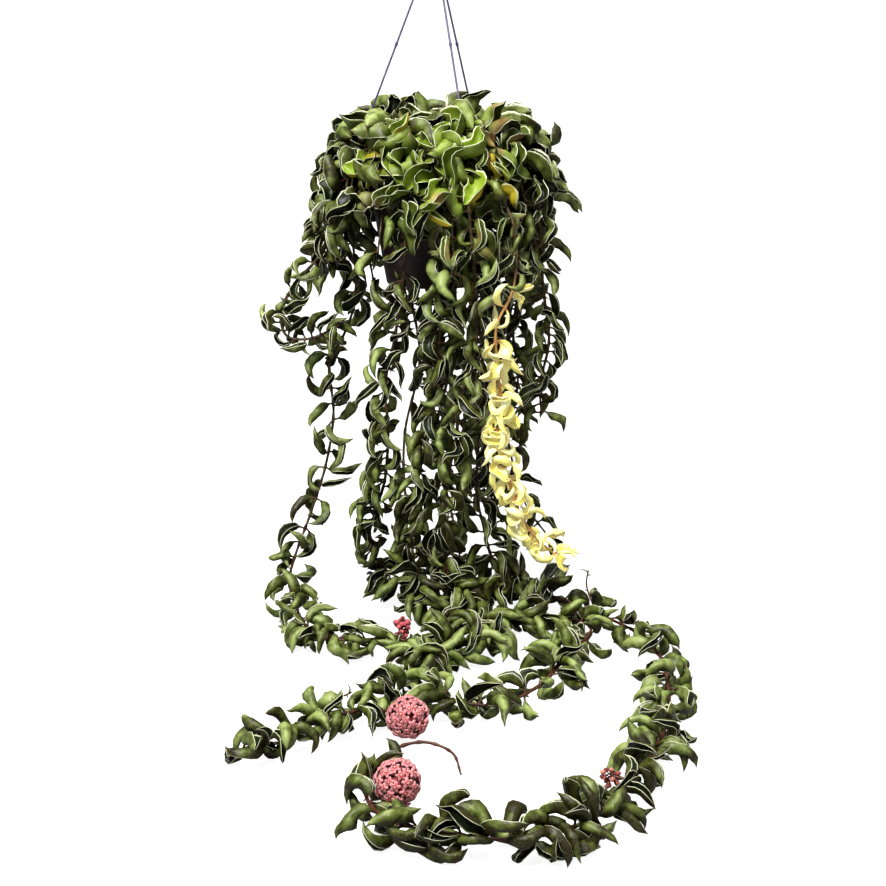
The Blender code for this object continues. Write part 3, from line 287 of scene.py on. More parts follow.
def few_points(line: Array, sag: float) -> list[int]:
    """The places along a line that its straight runs need to stay within the sag of it.

    Args:
        line: The points of the line.
        sag: How far the line may lie from its straight runs.

    Returns:
        The rows of the line that are kept, in order.
    """
    kept = {0, len(line) - 1}
    spans = [(0, len(line) - 1)]
    while spans:
        first, last = spans.pop()
        if last - first < 2:
            continue
        run = unit(line[last] - line[first])
        offsets = line[first + 1:last] - line[first]
        away = np.linalg.norm(offsets - np.outer(offsets @ run, run), axis=1)
        worst = int(np.argmax(away))
        if away[worst] > sag:
            middle = first + 1 + worst
            kept.add(middle)
            spans += [(first, middle), (middle, last)]
    return sorted(kept)


def carried_frames(line: Array) -> tuple[Array, Array, Array]:
    """Tangents along a line with a side direction carried along it without turning round it.

    Args:
        line: The points of the line.

    Returns:
        The tangents, the side directions and the directions square to both, one row each.
    """
    tangents = np.gradient(line, axis=0)
    tangents /= np.linalg.norm(tangents, axis=1)[:, None]
    side = unit(np.cross(tangents[0], ODD_DIRECTION))
    sides = []
    for tangent in tangents:
        side = unit(side - tangent * (side @ tangent))
        sides.append(side)
    sides = np.array(sides)
    return tangents, sides, np.cross(tangents, sides)


def tube(line: Array, radii: float | Array, sides: int = 5) -> Array:
    """Rings of points round a line: ring(place, angle) = line + radius * (side cos + other sin).

    Args:
        line: The points of the line.
        radii: One radius, or one for each point.
        sides: How many points go round.

    Returns:
        The rings, shaped points of the line by sides by 3.
    """
    _, side, other = carried_frames(line)
    angles = np.linspace(0.0, 2 * math.pi, sides, endpoint=False)
    radii = np.broadcast_to(np.asarray(radii, dtype=float), (len(line),))[:, None, None]
    round_ = side[:, None] * np.cos(angles)[None, :, None] + other[:, None] * np.sin(angles)[None, :, None]
    return line[:, None] + radii * round_


def turned(profile: Sequence, steps: int, centre: Sequence = (0.0, 0.0, 0.0)) -> Array:
    """A profile turned about an upright axis: ring(row, angle) = (radius cos, radius sin, height) + centre.

    Args:
        profile: The radius and the height of each ring.
        steps: How many points go round.
        centre: Where radius and height count from.

    Returns:
        The rings, shaped points of the profile by steps by 3.
    """
    angles = np.linspace(0.0, 2 * math.pi, steps, endpoint=False)
    profile = np.asarray(profile, dtype=float)
    rings = np.stack([np.outer(profile[:, 0], np.cos(angles)), np.outer(profile[:, 0], np.sin(angles)),
                      np.repeat(profile[:, 1:], steps, axis=1)], axis=2)
    return rings + np.asarray(centre, dtype=float)


def ring_quads(rows: int, sides: int) -> Array:
    """The faces between neighbouring rings of a closed skin.

    Args:
        rows: How many rings there are.
        sides: How many points each of them has.

    Returns:
        The four corners of each face.
    """
    row, side = np.meshgrid(np.arange(rows - 1), np.arange(sides), indexing="ij")
    here = row * sides + side
    there = row * sides + (side + 1) % sides
    return np.stack([here, there, there + sides, here + sides], axis=2).reshape(-1, 4)


def split_quads(quads: Array) -> list[tuple[int, int, int]]:
    """Each four-cornered face as two triangles."""
    return [tuple(t) for a, b, c, d in quads.tolist() for t in ((a, b, c), (a, c, d))]


class Stem:
    """A stem's line, with a side direction carried along it so that leaves can be set round it."""

    def __init__(self, name: str, points: Array) -> None:
        """Works out the line and its straight runs.

        Args:
            name: The name of the node that the stem belongs to.
            points: The points that the stem passes, from its root in the soil.
        """
        line = smooth_line(points, PATH_STEP)
        upright = np.cumprod(line[:, 2] < SOIL_TOP - MEETING_DROP + UPRIGHT_ABOVE_SOIL).astype(bool)
        line[upright, :2] = line[0, :2]
        self.name = name
        self.line = line
        self.kept = few_points(line, PATH_SAG)
        self.reach = np.concatenate([[0.0], np.cumsum(np.linalg.norm(np.diff(line, axis=0), axis=1))])
        self.length = float(self.reach[-1])
        self.tangents, self.sides, _ = carried_frames(line)

    def at(self, place: float) -> tuple[Array, Array, Array, Array]:
        """Where a leaf at a place of the stem starts.

        Args:
            place: How far along the stem it is.

        Returns:
            The point on the straight runs, the tangent and the two side directions.
        """
        row = float(np.interp(place, self.reach, np.arange(len(self.line))))
        anchors = np.array(self.kept, dtype=float)
        point = np.array([np.interp(row, anchors, self.line[self.kept, k]) for k in range(3)])
        near = min(int(round(row)), len(self.line) - 1)
        tangent, side = self.tangents[near], self.sides[near]
        return point, tangent, side, np.cross(tangent, side)

    def on_curve(self, place: float) -> Array:
        """The point on the smooth line at a place."""
        return np.array([np.interp(place, self.reach, self.line[:, k]) for k in range(3)])


@dataclass(frozen=True)
class Habit:
    """How the leaves of one round grow: ranges of angles in degrees, of shares and of chances."""

    half_width: tuple[float, float] = (0.27, 0.33)
    curl: tuple[float, float] = (95.0, 185.0)
    flick: tuple[float, float] = (40.0, 110.0)
    flick_chance: float = 0.4
    flick_start: float = 0.72
    roll_spread: float = 42.0
    over_chance: float = 0.18
    twist: tuple[float, float] = (-45.0, 45.0)
    fold: tuple[float, float] = (92.0, 122.0)
    wave: tuple[float, float] = (8.0, 26.0)
    wave_count: tuple[float, float] = (1.2, 2.4)
    lean: tuple[float, float] = (-0.40, 0.45)
    onward: tuple[float, float] = (0.35, 1.0)
    droop: tuple[float, float] = (0.1, 0.8)
    aside: float = 0.25
    backward_chance: float = 0.16


@dataclass(frozen=True)
class Look:
    """How the shown leaves of a round differ from their solids: margins in degrees, and shares."""

    closed: tuple[float, float] = (129.0, 142.0)
    sway: float = 1.4
    swerve: tuple[float, float] = (0.0, 0.05)
    blunt: float = 3.1
    full: float = 0.98
    gape: tuple[float, float] = (6.0, 36.0)
    flip: float = 0.0
    show: float = 0.0
    plain: bool = True


class LeafForm:
    """One folded leaf: its root, its first direction, the way it curls and how its halves fold."""

    def __init__(self, root: Array, ahead: Array, bend: Array, length: float, habit: Habit,
                 dice: random.Random) -> None:
        """Draws the leaf's form.

        Args:
            root: The point where its stalk leaves the stem.
            ahead: The direction in which it leaves.
            bend: The direction towards which it curls, square to ahead.
            length: The length along the curl.
            habit: The ranges that its form is drawn from.
            dice: The leaf's own seeded draws.
        """
        self.root = root
        self.ahead = ahead
        self.bend = bend
        self.length = length
        self.flick_start = habit.flick_start
        self.half_width = length * dice.uniform(*habit.half_width)
        self.curl = math.radians(dice.uniform(*habit.curl))
        self.flick = math.radians(dice.uniform(*habit.flick)) if dice.random() < habit.flick_chance else 0.0
        over = dice.gauss(0.0, habit.roll_spread)
        self.roll = math.radians(over + (180.0 if dice.random() < habit.over_chance else 0.0))
        self.twist = math.radians(dice.uniform(*habit.twist))
        self.fold = math.radians(dice.uniform(*habit.fold))
        self.wave = math.radians(dice.uniform(*habit.wave))
        self.waves = dice.uniform(*habit.wave_count)
        self.phases = (dice.uniform(0.0, 2 * math.pi), dice.uniform(0.0, 2 * math.pi))
        self.lively = dice.random()
        self.look = Look()
        self.closed = self.swerve = self.gape = 0.0

    def dress(self, look: Look, dice: random.Random) -> None:
        """Draws what only the shown leaf has: how its margins close and part, its swerve and its facing.

        Args:
            look: The ranges that it is drawn from.
            dice: The leaf's own seeded draws.
        """
        self.look = look
        self.closed = math.radians(dice.uniform(*look.closed))
        self.gape = math.radians(dice.uniform(*look.gape))
        self.swerve = self.length * dice.uniform(*look.swerve)
        facing = float(self.spine([0.5])[2][0] @ unit(VIEW_PLACE - self.root))
        if dice.random() < (look.flip if facing > FACING else look.show if facing < 0.0 else 0.0):
            self.roll += math.pi

    def spine(self, places: Array) -> tuple[Array, Array, Array, Array]:
        """Points and directions along the leaf: it curls steadily, and the tip may flick back.

        Args:
            places: Shares of the leaf's length.

        Returns:
            The points, the directions along, towards the opening and across, one row each.
        """
        places = np.asarray(places, dtype=float)
        grid = np.linspace(0.0, 1.0, SPINE_STEPS + 1)
        late = np.clip((grid - self.flick_start) / (1.0 - self.flick_start), 0.0, 1.0)
        turn = self.curl * grid - self.flick * late
        along = np.outer(np.cos(turn), self.ahead) + np.outer(np.sin(turn), self.bend)
        steps = (along[1:] + along[:-1]) * 0.5 * self.length / SPINE_STEPS
        points = self.root + np.vstack([np.zeros(3), np.cumsum(steps, axis=0)])
        turn = np.interp(places, grid, turn)
        points = np.stack([np.interp(places, grid, points[:, k]) for k in range(3)], axis=1)
        along = np.outer(np.cos(turn), self.ahead) + np.outer(np.sin(turn), self.bend)
        inward = np.outer(-np.sin(turn), self.ahead) + np.outer(np.cos(turn), self.bend)
        flat = np.cross(self.ahead, self.bend)
        roll = (self.roll + self.twist * places)[:, None]
        opening = -inward * np.cos(roll) + flat * np.sin(roll)
        return points, along, opening, np.cross(along, opening)

    def width(self, places: Array) -> Array:
        """The length of each half from keel to margin, at shares of the leaf's length."""
        blade = np.clip((np.asarray(places) - PETIOLE_SHARE) / (1.0 - PETIOLE_SHARE), 0.0, 1.0)
        return self.half_width * np.abs(np.sin(math.pi * blade ** WIDEST_SKEW)) ** WIDTH_POWER

    def folds(self, places: Array) -> list[Array]:
        """The angle that each half reaches at its margin, waving along the leaf."""
        places = np.asarray(places, dtype=float)
        return [self.fold + self.wave * np.sin(2 * math.pi * self.waves * places + phase)
                for phase in self.phases]

    def fine_line(self, places: Array) -> tuple[Array, Array, Array, Array]:
        """The spine of the shown leaf, which also sways sideways once along its length.

        Args:
            places: Shares of the leaf's length.

        Returns:
            The points and directions, as spine gives them.
        """
        points, along, opening, across = self.spine(places)
        turns = np.sin(2 * math.pi * SWAY_TURNS * places + self.phases[1])
        sway = self.swerve * turns * eased(places, *SWAY_EASE)
        return points + np.outer(sway, np.cross(self.ahead, self.bend)), along, opening, across

    def fine_width(self, places: Array) -> Array:
        """The same length for the shown leaf, which stays broad until its claw of a tip.

        With s the share of the blade it is proportional to (1 - exp(-s / 0.085)) (1 - s^blunt)^0.85.

        Args:
            places: Shares of the leaf's length.

        Returns:
            The length at each place.
        """
        blade = np.clip((np.asarray(places) - PETIOLE_SHARE) / (1.0 - PETIOLE_SHARE), 0.0, 1.0)
        taper = (1.0 - np.exp(-blade / SHOULDER_SHARE)) * (1.0 - blade ** self.look.blunt) ** TIP_POWER
        ripple = 1.0 + RIPPLE * np.sin(2 * math.pi * (MORE_RIPPLES + self.waves) * blade + self.phases[1])
        return self.look.full * self.half_width * taper * ripple

    def fine_folds(self, places: Array) -> list[Array]:
        """The margin angles of the shown leaf: nearly closed, and its slit sways from side to side.

        Args:
            places: Shares of the leaf's length.

        Returns:
            The angles of both halves.
        """
        places = np.asarray(places, dtype=float)
        turns = min(self.waves, MOST_WAVES)
        sway = self.look.sway * self.wave * np.sin(2 * math.pi * turns * places + self.phases[0])
        shy = SHYNESS * self.wave * np.sin(5.0 * math.pi * turns * places + self.phases[1])
        mean = self.closed + shy - self.gape * np.sin(math.pi * places) ** 1.5
        return [mean + sway, mean - sway]

    def coarse(self, rings: Sequence[float], guard: float = 0.0) -> Array:
        """The leaf as a closed body: a root point, a few folded V sections and a tip.

        Args:
            rings: The places of the V sections.
            guard: How far each corner is pushed out.

        Returns:
            The corners, four for each section between the two ends.
        """
        places = np.array([0.0, *rings, 1.0])
        points, along, opening, across = self.spine(places)
        width = self.width(places)
        shape = np.tanh(FOLD_SHARPNESS * np.linspace(0.0, 1.0, FOLD_SAMPLES)) / math.tanh(FOLD_SHARPNESS)
        halves = []
        for fold in self.folds(places):
            angles = np.outer(fold, shape)
            out = np.cos(angles)
            up = np.sin(angles)
            halves.append((width * (out[:, 1:] + out[:, :-1]).mean(axis=1) * 0.5,
                           width * (up[:, 1:] + up[:, :-1]).mean(axis=1) * 0.5))
        left, right = halves
        corners = [points[0]]
        for i in range(1, len(places) - 1):
            half = 0.5 * max(left[1][i], right[1][i])
            keel = points[i] - opening[i] * (half + guard)
            left_edge = points[i] + opening[i] * (left[1][i] - half + guard)
            left_edge = left_edge + across[i] * (left[0][i] + guard)
            right_edge = points[i] + opening[i] * (right[1][i] - half + guard)
            right_edge = right_edge - across[i] * (right[0][i] + guard)
            inner = keel + opening[i] * (KEEL_THICKNESS + guard)
            corners += [left_edge, keel, right_edge, inner]
        corners.append(points[-1] + along[-1] * guard)
        return np.array(corners)


def ring_faces(rings: int) -> list[tuple[int, int, int]]:
    """Triangles of a coarse leaf: the root fan first, both skins split alike.

    Args:
        rings: How many V sections it has.

    Returns:
        The three corners of each triangle.
    """
    faces = [(0, 1 + k, 1 + (k + 1) % 4) for k in range(4)]
    for ring in range(rings - 1):
        start = 1 + 4 * ring
        for k in range(4):
            here, there = start + k, start + (k + 1) % 4
            if k < 2:
                faces += [(here, here + 4, there), (there, here + 4, there + 4)]
            else:
                faces += [(here, here + 4, there + 4), (here, there + 4, there)]
    start = 1 + 4 * (rings - 1)
    faces += [(start + k, start + 4, start + (k + 1) % 4) for k in range(4)]
    return faces


def crosses_itself(points: Array, faces: list) -> bool:
    """Whether two triangles of a body that share no corner run through each other.

    Args:
        points: The corners of the body.
        faces: Its triangles.

    Returns:
        True where they do.
    """
    tree = BVHTree.FromPolygons(points.tolist(), faces)
    return any(first < second and not set(faces[first]) & set(faces[second])
               for first, second in tree.overlap(tree))


class Thicket:
    """Everything that already has its place, and whether a new leaf still has room among it."""

    def __init__(self) -> None:
        """Starts with nothing in place."""
        self.owners: list[str] = []
        self.low = np.zeros((0, 3))
        self.high = np.zeros((0, 3))
        self.whole: list[BVHTree] = []
        self.blade: list[BVHTree | None] = []

    def add(self, owner: str, points: Array, faces: list, blade_faces: list | None = None) -> None:
        """Remembers a body.

        Args:
            owner: The stem or part that it belongs to.
            points: Its corners.
            faces: Its triangles.
            blade_faces: Those of them that its own stem may not touch.
        """
        points = points.reshape(-1, 3)
        self.owners.append(owner)
        self.low = np.vstack([self.low, points.min(axis=0)])
        self.high = np.vstack([self.high, points.max(axis=0)])
        self.whole.append(BVHTree.FromPolygons(points.tolist(), faces))
        self.blade.append(BVHTree.FromPolygons(points.tolist(), blade_faces) if blade_faces else None)

    def add_rings(self, owner: str, rings: Array) -> None:
        """Remembers a body that is given as rings of points."""
        self.add(owner, rings, split_quads(ring_quads(rings.shape[0], rings.shape[1])))

    def has_room(self, owner: str, points: Array, faces: list, blade_faces: list, dip: float = 0.0) -> bool:
        """Whether a leaf meets nothing: near its own stem only its blade counts.

        Args:
            owner: The stem that carries it.
            points: Its corners.
            faces: Its triangles.
            blade_faces: Those of its blade.
            dip: How far below the solids' floor it may reach.

        Returns:
            True where it has room.
        """
        low, high = points.min(axis=0), points.max(axis=0)
        if low[2] < FLOOR - MEETING_DROP + FLOOR_REST - dip:
            return False
        near = np.nonzero(np.all(self.low < high, axis=1) & np.all(self.high > low, axis=1))[0]
        if not len(near):
            return True
        whole = BVHTree.FromPolygons(points.tolist(), faces)
        blade = BVHTree.FromPolygons(points.tolist(), blade_faces)
        for index in near:
            if self.owners[index] != owner:
                if whole.overlap(self.whole[index]):
                    return False
            elif blade.overlap(self.whole[index]):
                return False
            elif self.blade[index] and whole.overlap(self.blade[index]):
                return False
        return True


# How fine the shown leaves are: rows along a leaf, steps across half of it, and the steps that are kept.
LEAF_ROWS = (0.0, 0.045, 0.09, 0.14, 0.19, 0.26, 0.34, 0.43, 0.52, 0.61, 0.70, 0.78, 0.86, 0.935, 1.0)
PLAIN_ROWS = (0.0, 0.05, 0.10, 0.16, 0.24, 0.34, 0.45, 0.56, 0.66, 0.76, 0.85, 0.93, 1.0)
HALF_STEPS = 20
OUTER_PICKS = (20, 17, 12, 6, 0)
INNER_PICKS = (16, 9)
PLAIN_INNER_PICKS = (13,)
LIP_ACROSS = 1.08
LIP_THICKNESS = 0.0006
RIPPLE = 0.07
# Painted light: the side of a leaf that faces this direction, towards the key light, is painted lighter, the
# far side darker.
PAINTED_LIGHT_DIRECTION = np.array([-0.35, -0.40, 0.85])
FINE_SHARPNESS = 1.3
SQUASH_ABOVE = -0.193
TOP_SQUASH = 0.6

# How a shown leaf sways, tapers and closes, and from which facing on it may be turned over.
SWAY_TURNS = 1.15
SWAY_EASE = (0.05, 0.4)
SHOULDER_SHARE = 0.085
TIP_POWER = 0.85
MORE_RIPPLES = 1.2
MOST_WAVES = 1.8
SHYNESS = 0.12
FACING = 0.2

# Its section: the flare of the margin, the thickness at keel and lip, and the round stalk and tip.
FLARE = 0.30
FLARE_FROM = 0.80
KEEL_SHARE = 0.19
THICK_POWER = 0.7
LIP_FULL_AT = 0.45
LIP_ROUND = 0.45
ROUND_PLACES = (0.0, 0.12, 0.5, 0.9, 0.96, 1.0)
ROUND_RADII = (0.0012, 0.0009, 0.001, 0.001, 0.0007, 0.0002)
STALK_FOLDS = (0.09, 0.25)
TIP_UNFOLDS = (0.86, 1.0)
FLOOR_CLEAR = 0.0005
LIFTED_BY = 0.30
# How far the painted light and shade from a leaf's facing shift its tone.
PAINTED_LIGHT_SHARE = 0.42
SHORTEST_OUT = 0.0015


class Bloom(Enum):
    """The kinds of flower head on the plant."""

    OPEN = "open"
    BUDS = "buds"
    SPENT = "spent"


def new_object(name: str, data: bpy.types.ID) -> Object:
    """A new object with its data, linked to the scene."""
    item = bpy.data.objects.new(name, data)
    bpy.context.scene.collection.objects.link(item)
    return item


class MeshStock:
    """Gathers the parts of one piece and makes them into one mesh."""

    def __init__(self) -> None:
        """Starts with no parts."""
        self.points: list[Array] = []
        self.paints: list[Array] = []
        self.warmths: list[Array] = []
        self.quads: list[Array] = []
        self.rims: list[Array] = []
        self.quad_finish: list[Array] = []
        self.rim_finish: list[int] = []
        self.count = 0

    def add_rings(self, rings: Array, finish: int = 0, paint: Array | None = None, warmth: float = 0.0,
                  caps: bool = True) -> None:
        """Adds a skin of closed rings, with its first and last ring filled.

        Args:
            rings: Points shaped rings by sides by 3, running so that the faces look outwards.
            finish: The place of its material in the piece's list.
            paint: Four numbers for each point, in the shape of the rings.
            warmth: One number for the whole part, which its material may read.
            caps: Whether both ends are closed.
        """
        rows, sides = rings.shape[:2]
        self.points.append(rings.reshape(-1, 3))
        self.paints.append(np.zeros((rows * sides, 4)) if paint is None else paint.reshape(-1, 4))
        self.warmths.append(np.full(rows * sides, warmth))
        quads = ring_quads(rows, sides) + self.count
        self.quads.append(quads)
        self.quad_finish.append(np.full(len(quads), finish))
        if caps:
            self.rims.append(np.arange(sides)[::-1] + self.count)
            self.rims.append(np.arange(sides) + self.count + (rows - 1) * sides)
            self.rim_finish += [finish, finish]
        self.count += rows * sides

    def make(self, name: str, finishes: Sequence[Material]) -> Object:
        """Makes the gathered parts into one smooth object.

        Args:
            name: The piece's name.
            finishes: The piece's materials.

        Returns:
            The new object, linked to the scene.
        """
        mesh = bpy.data.meshes.new(name)
        points = np.concatenate(self.points)
        quads = np.concatenate(self.quads)
        corners = np.concatenate([quads.ravel(), *self.rims]) if self.rims else quads.ravel()
        sizes = np.concatenate([np.full(len(quads), 4), [len(rim) for rim in self.rims]]).astype(np.int32)
        starts = np.concatenate([[0], np.cumsum(sizes)[:-1]]).astype(np.int32)
        mesh.vertices.add(len(points))
        mesh.vertices.foreach_set("co", points.astype(np.float32).ravel())
        mesh.loops.add(len(corners))
        mesh.loops.foreach_set("vertex_index", corners.astype(np.int32))
        mesh.polygons.add(len(sizes))
        mesh.polygons.foreach_set("loop_start", starts)
        finish = np.concatenate([*self.quad_finish, np.array(self.rim_finish, dtype=int)])
        mesh.polygons.foreach_set("material_index", finish.astype(np.int32))
        mesh.polygons.foreach_set("use_smooth", np.ones(len(sizes), dtype=bool))
        mesh.update(calc_edges=True)
        paint = mesh.attributes.new("paint", "FLOAT_COLOR", "POINT")
        paint.data.foreach_set("color", np.concatenate(self.paints).astype(np.float32).ravel())
        warmth = mesh.attributes.new("warmth", "FLOAT", "POINT")
        warmth.data.foreach_set("value", np.concatenate(self.warmths).astype(np.float32))
        for material in finishes:
            mesh.materials.append(material)
        mesh.validate()
        return new_object(name, mesh)


class Desk:
    """A node tree with short calls that add nodes and join them."""

    def __init__(self, tree: NodeTree) -> None:
        """Keeps the tree that the nodes go into."""
        self.tree = tree

    def feed(self, node: Node, values: dict) -> Node:
        """Puts numbers, colours and other nodes' outputs into a node.

        Args:
            node: The node.
            values: What goes into its inputs, by name or place.

        Returns:
            The same node.
        """
        for key, value in values.items():
            if isinstance(value, NodeSocket):
                self.tree.links.new(value, node.inputs[key])
            else:
                node.inputs[key].default_value = value
        return node

    def add(self, kind: str, values: dict | None = None, **settings: object) -> Node:
        """Adds a node.

        Args:
            kind: The node's type.
            values: What goes into its inputs.
            settings: Properties of the node itself.

        Returns:
            The new node.
        """
        node = self.tree.nodes.new(kind)
        for name, value in settings.items():
            setattr(node, name, value)
        return self.feed(node, values or {})

    def mix(self, share: object, first: object, second: object) -> NodeSocket:
        """The output of a mix of two colours by a share."""
        values = {0: share, 6: tint(first), 7: tint(second)}
        return self.add("ShaderNodeMix", values, data_type="RGBA").outputs[2]

    def blend(self, share: object, first: object, second: object) -> NodeSocket:
        """The output of a mix of two numbers by a share."""
        return self.add("ShaderNodeMix", {0: share, 2: first, 3: second}).outputs[0]

    def sums(self, how: str, *values: object) -> NodeSocket:
        """The output of one piece of arithmetic."""
        return self.add("ShaderNodeMath", dict(enumerate(values)), operation=how).outputs[0]

    def times(self, first: object, second: object) -> NodeSocket:
        """The output of a product."""
        return self.sums("MULTIPLY", first, second)

    def ease(self, value: object, low: float, high: float) -> NodeSocket:
        """The output of a smooth step from 0 at low to 1 at high."""
        return self.add("ShaderNodeMapRange", {0: value, 1: low, 2: high, 3: 0.0, 4: 1.0},
                        interpolation_type="SMOOTHSTEP").outputs[0]

    def fall(self, value: object, low: float, high: float) -> NodeSocket:
        """The output of a smooth step from 1 at low to 0 at high."""
        return self.sums("SUBTRACT", 1.0, self.ease(value, low, high))

    def place(self) -> NodeSocket:
        """The output of the Object coordinates."""
        return self.add("ShaderNodeTexCoord").outputs["Object"]

    def painted(self, name: str) -> Sequence:
        """The outputs of a mesh attribute."""
        return self.add("ShaderNodeAttribute", attribute_name=name).outputs

    def noise(self, place: object, scale: object, detail: float = 2.0,
              rough: float = 0.5) -> NodeSocket:
        """The output of a soft noise at a place."""
        values = {"Vector": place, "Scale": scale, "Detail": detail, "Roughness": rough}
        return self.add("ShaderNodeTexNoise", values).outputs["Fac"]

    def bump(self, strength: float, distance: float, height: object) -> NodeSocket:
        """The output of a bump from a height."""
        values = {"Strength": strength, "Distance": distance, "Height": height}
        return self.add("ShaderNodeBump", values).outputs[0]

    def mottled(self, place: object, scale: float, colours: Sequence, shift: object = 0.0) -> Sequence:
        """The outputs of the soft mottling of a dark, a middle and a light colour at a place."""
        dark, middle, light = [tint(colour) for colour in colours]
        return Groups.use(self, "soft_mottling", {"Place": place, "Scale": scale, "Shift": shift,
                                                  "Dark": dark, "Middle": middle, "Light": light})


def new_group(name: str, inputs: dict[str, tuple[str, object]], outputs: dict[str, str]) -> tuple:
    """A shader node group with named sockets.

    Args:
        name: The group's name.
        inputs: For each input its kind of socket and its value.
        outputs: For each output its kind of socket.

    Returns:
        The group, a desk on it, its inner inputs and the node of its outputs.
    """
    group = bpy.data.node_groups.new(name, "ShaderNodeTree")
    for title, (kind, value) in inputs.items():
        socket = group.interface.new_socket(title, in_out="INPUT", socket_type=kind)
        if value is not None:
            socket.default_value = value
    for title, kind in outputs.items():
        group.interface.new_socket(title, in_out="OUTPUT", socket_type=kind)
    desk = Desk(group)
    return group, desk, desk.add("NodeGroupInput").outputs, desk.add("NodeGroupOutput")


FLOAT, COLOUR, VECTOR = "NodeSocketFloat", "NodeSocketColor", "NodeSocketVector"


def leaf_zones_group() -> ShaderNodeTree:
    """Zones of a leaf from its painted numbers.

    Returns:
        A group: Lip is the pale margin, Hollow the inside of the fold, Stalk the leaf's foot and Tip its end.
    """
    group, desk, given, out = new_group(
        "leaf_zones", {"Across": (FLOAT, 0.0), "Inside": (FLOAT, 0.0), "Along": (FLOAT, 0.0),
                       "Wander": (FLOAT, 0.5)},
        {"Lip": FLOAT, "Hollow": FLOAT, "Stalk": FLOAT, "Tip": FLOAT})
    along = given["Along"]
    edge = desk.sums("MULTIPLY_ADD", given["Wander"], 0.04, given["Across"])
    lip = desk.times(desk.ease(edge, 0.972, 0.994), desk.ease(along, 0.15, 0.24))
    desk.feed(out, {"Lip": desk.times(lip, desk.fall(along, 0.93, 0.99)),
                    "Hollow": desk.ease(given["Inside"], 0.45, 0.75),
                    "Stalk": desk.fall(along, 0.08, 0.17), "Tip": desk.ease(along, 0.90, 0.99)})
    return group


def mottling_group() -> ShaderNodeTree:
    """Soft clouds of three colours with fine specks, and a height for the bump.

    Returns:
        A group with the outputs Colour, Clouds and Height.
    """
    group, desk, given, out = new_group(
        "soft_mottling", {"Place": (VECTOR, None), "Scale": (FLOAT, 90.0), "Shift": (FLOAT, 0.0),
                          "Dark": (COLOUR, (0.03, 0.05, 0.01, 1)), "Middle": (COLOUR, (0.06, 0.1, 0.03, 1)),
                          "Light": (COLOUR, (0.2, 0.3, 0.1, 1))},
        {"Colour": COLOUR, "Clouds": FLOAT, "Height": FLOAT})
    place, light = given["Place"], given["Light"]
    clouds = desk.noise(place, given["Scale"], 3.0, 0.55)
    fine = desk.noise(place, desk.times(given["Scale"], 7.0), 2.0, 0.6)
    level = desk.sums("ADD", clouds, given["Shift"])
    colour = desk.mix(desk.ease(level, 0.30, 0.56), given["Dark"], given["Middle"])
    colour = desk.mix(desk.ease(level, 0.50, 0.78), colour, light)
    colour = desk.mix(desk.times(desk.ease(fine, 0.60, 0.72), 0.34), colour, light)
    desk.feed(out, {"Colour": colour, "Clouds": clouds,
                    "Height": desk.sums("MULTIPLY_ADD", fine, 0.35, clouds)})
    return group


class Groups:
    """The node groups that several materials share, each made once."""

    made: dict[str, ShaderNodeTree] = {}

    @classmethod
    def use(cls, desk: Desk, name: str, values: dict) -> Sequence:
        """Puts a shared group into a material.

        Args:
            desk: The desk on the material's tree.
            name: The group's name.
            values: What goes into its inputs.

        Returns:
            The outputs of the group's node.
        """
        if name not in cls.made:
            cls.made[name] = {"leaf_zones": leaf_zones_group, "soft_mottling": mottling_group}[name]()
        return desk.add("ShaderNodeGroup", values, node_tree=cls.made[name]).outputs


def linear(red: float, green: float, blue: float) -> tuple[float, float, float, float]:
    """A colour as the shader wants it: the inverse of the curve that a picture's numbers are coded by.

    Args:
        red: The red of the picture, from 0 to 255.
        green: Its green.
        blue: Its blue.

    Returns:
        Red, green, blue and an alpha of one.
    """
    parts = np.array([red, green, blue]) / 255.0
    parts = np.where(parts <= 0.04045, parts / 12.92, ((parts + 0.055) / 1.055) ** 2.4)
    return (*(float(part) for part in parts), 1.0)


def tint(colour: object) -> object:
    """A picture's colour made linear, and a node's output as it is."""
    return linear(*colour) if isinstance(colour, tuple) else colour


def new_material(name: str) -> tuple[Material, Desk, Node]:
    """An empty material with its shader.

    Args:
        name: The material's name.

    Returns:
        The material, a desk on its tree and its Principled shader.
    """
    material = bpy.data.materials.new(name)
    material.use_nodes = True
    return material, Desk(material.node_tree), material.node_tree.nodes["Principled BSDF"]


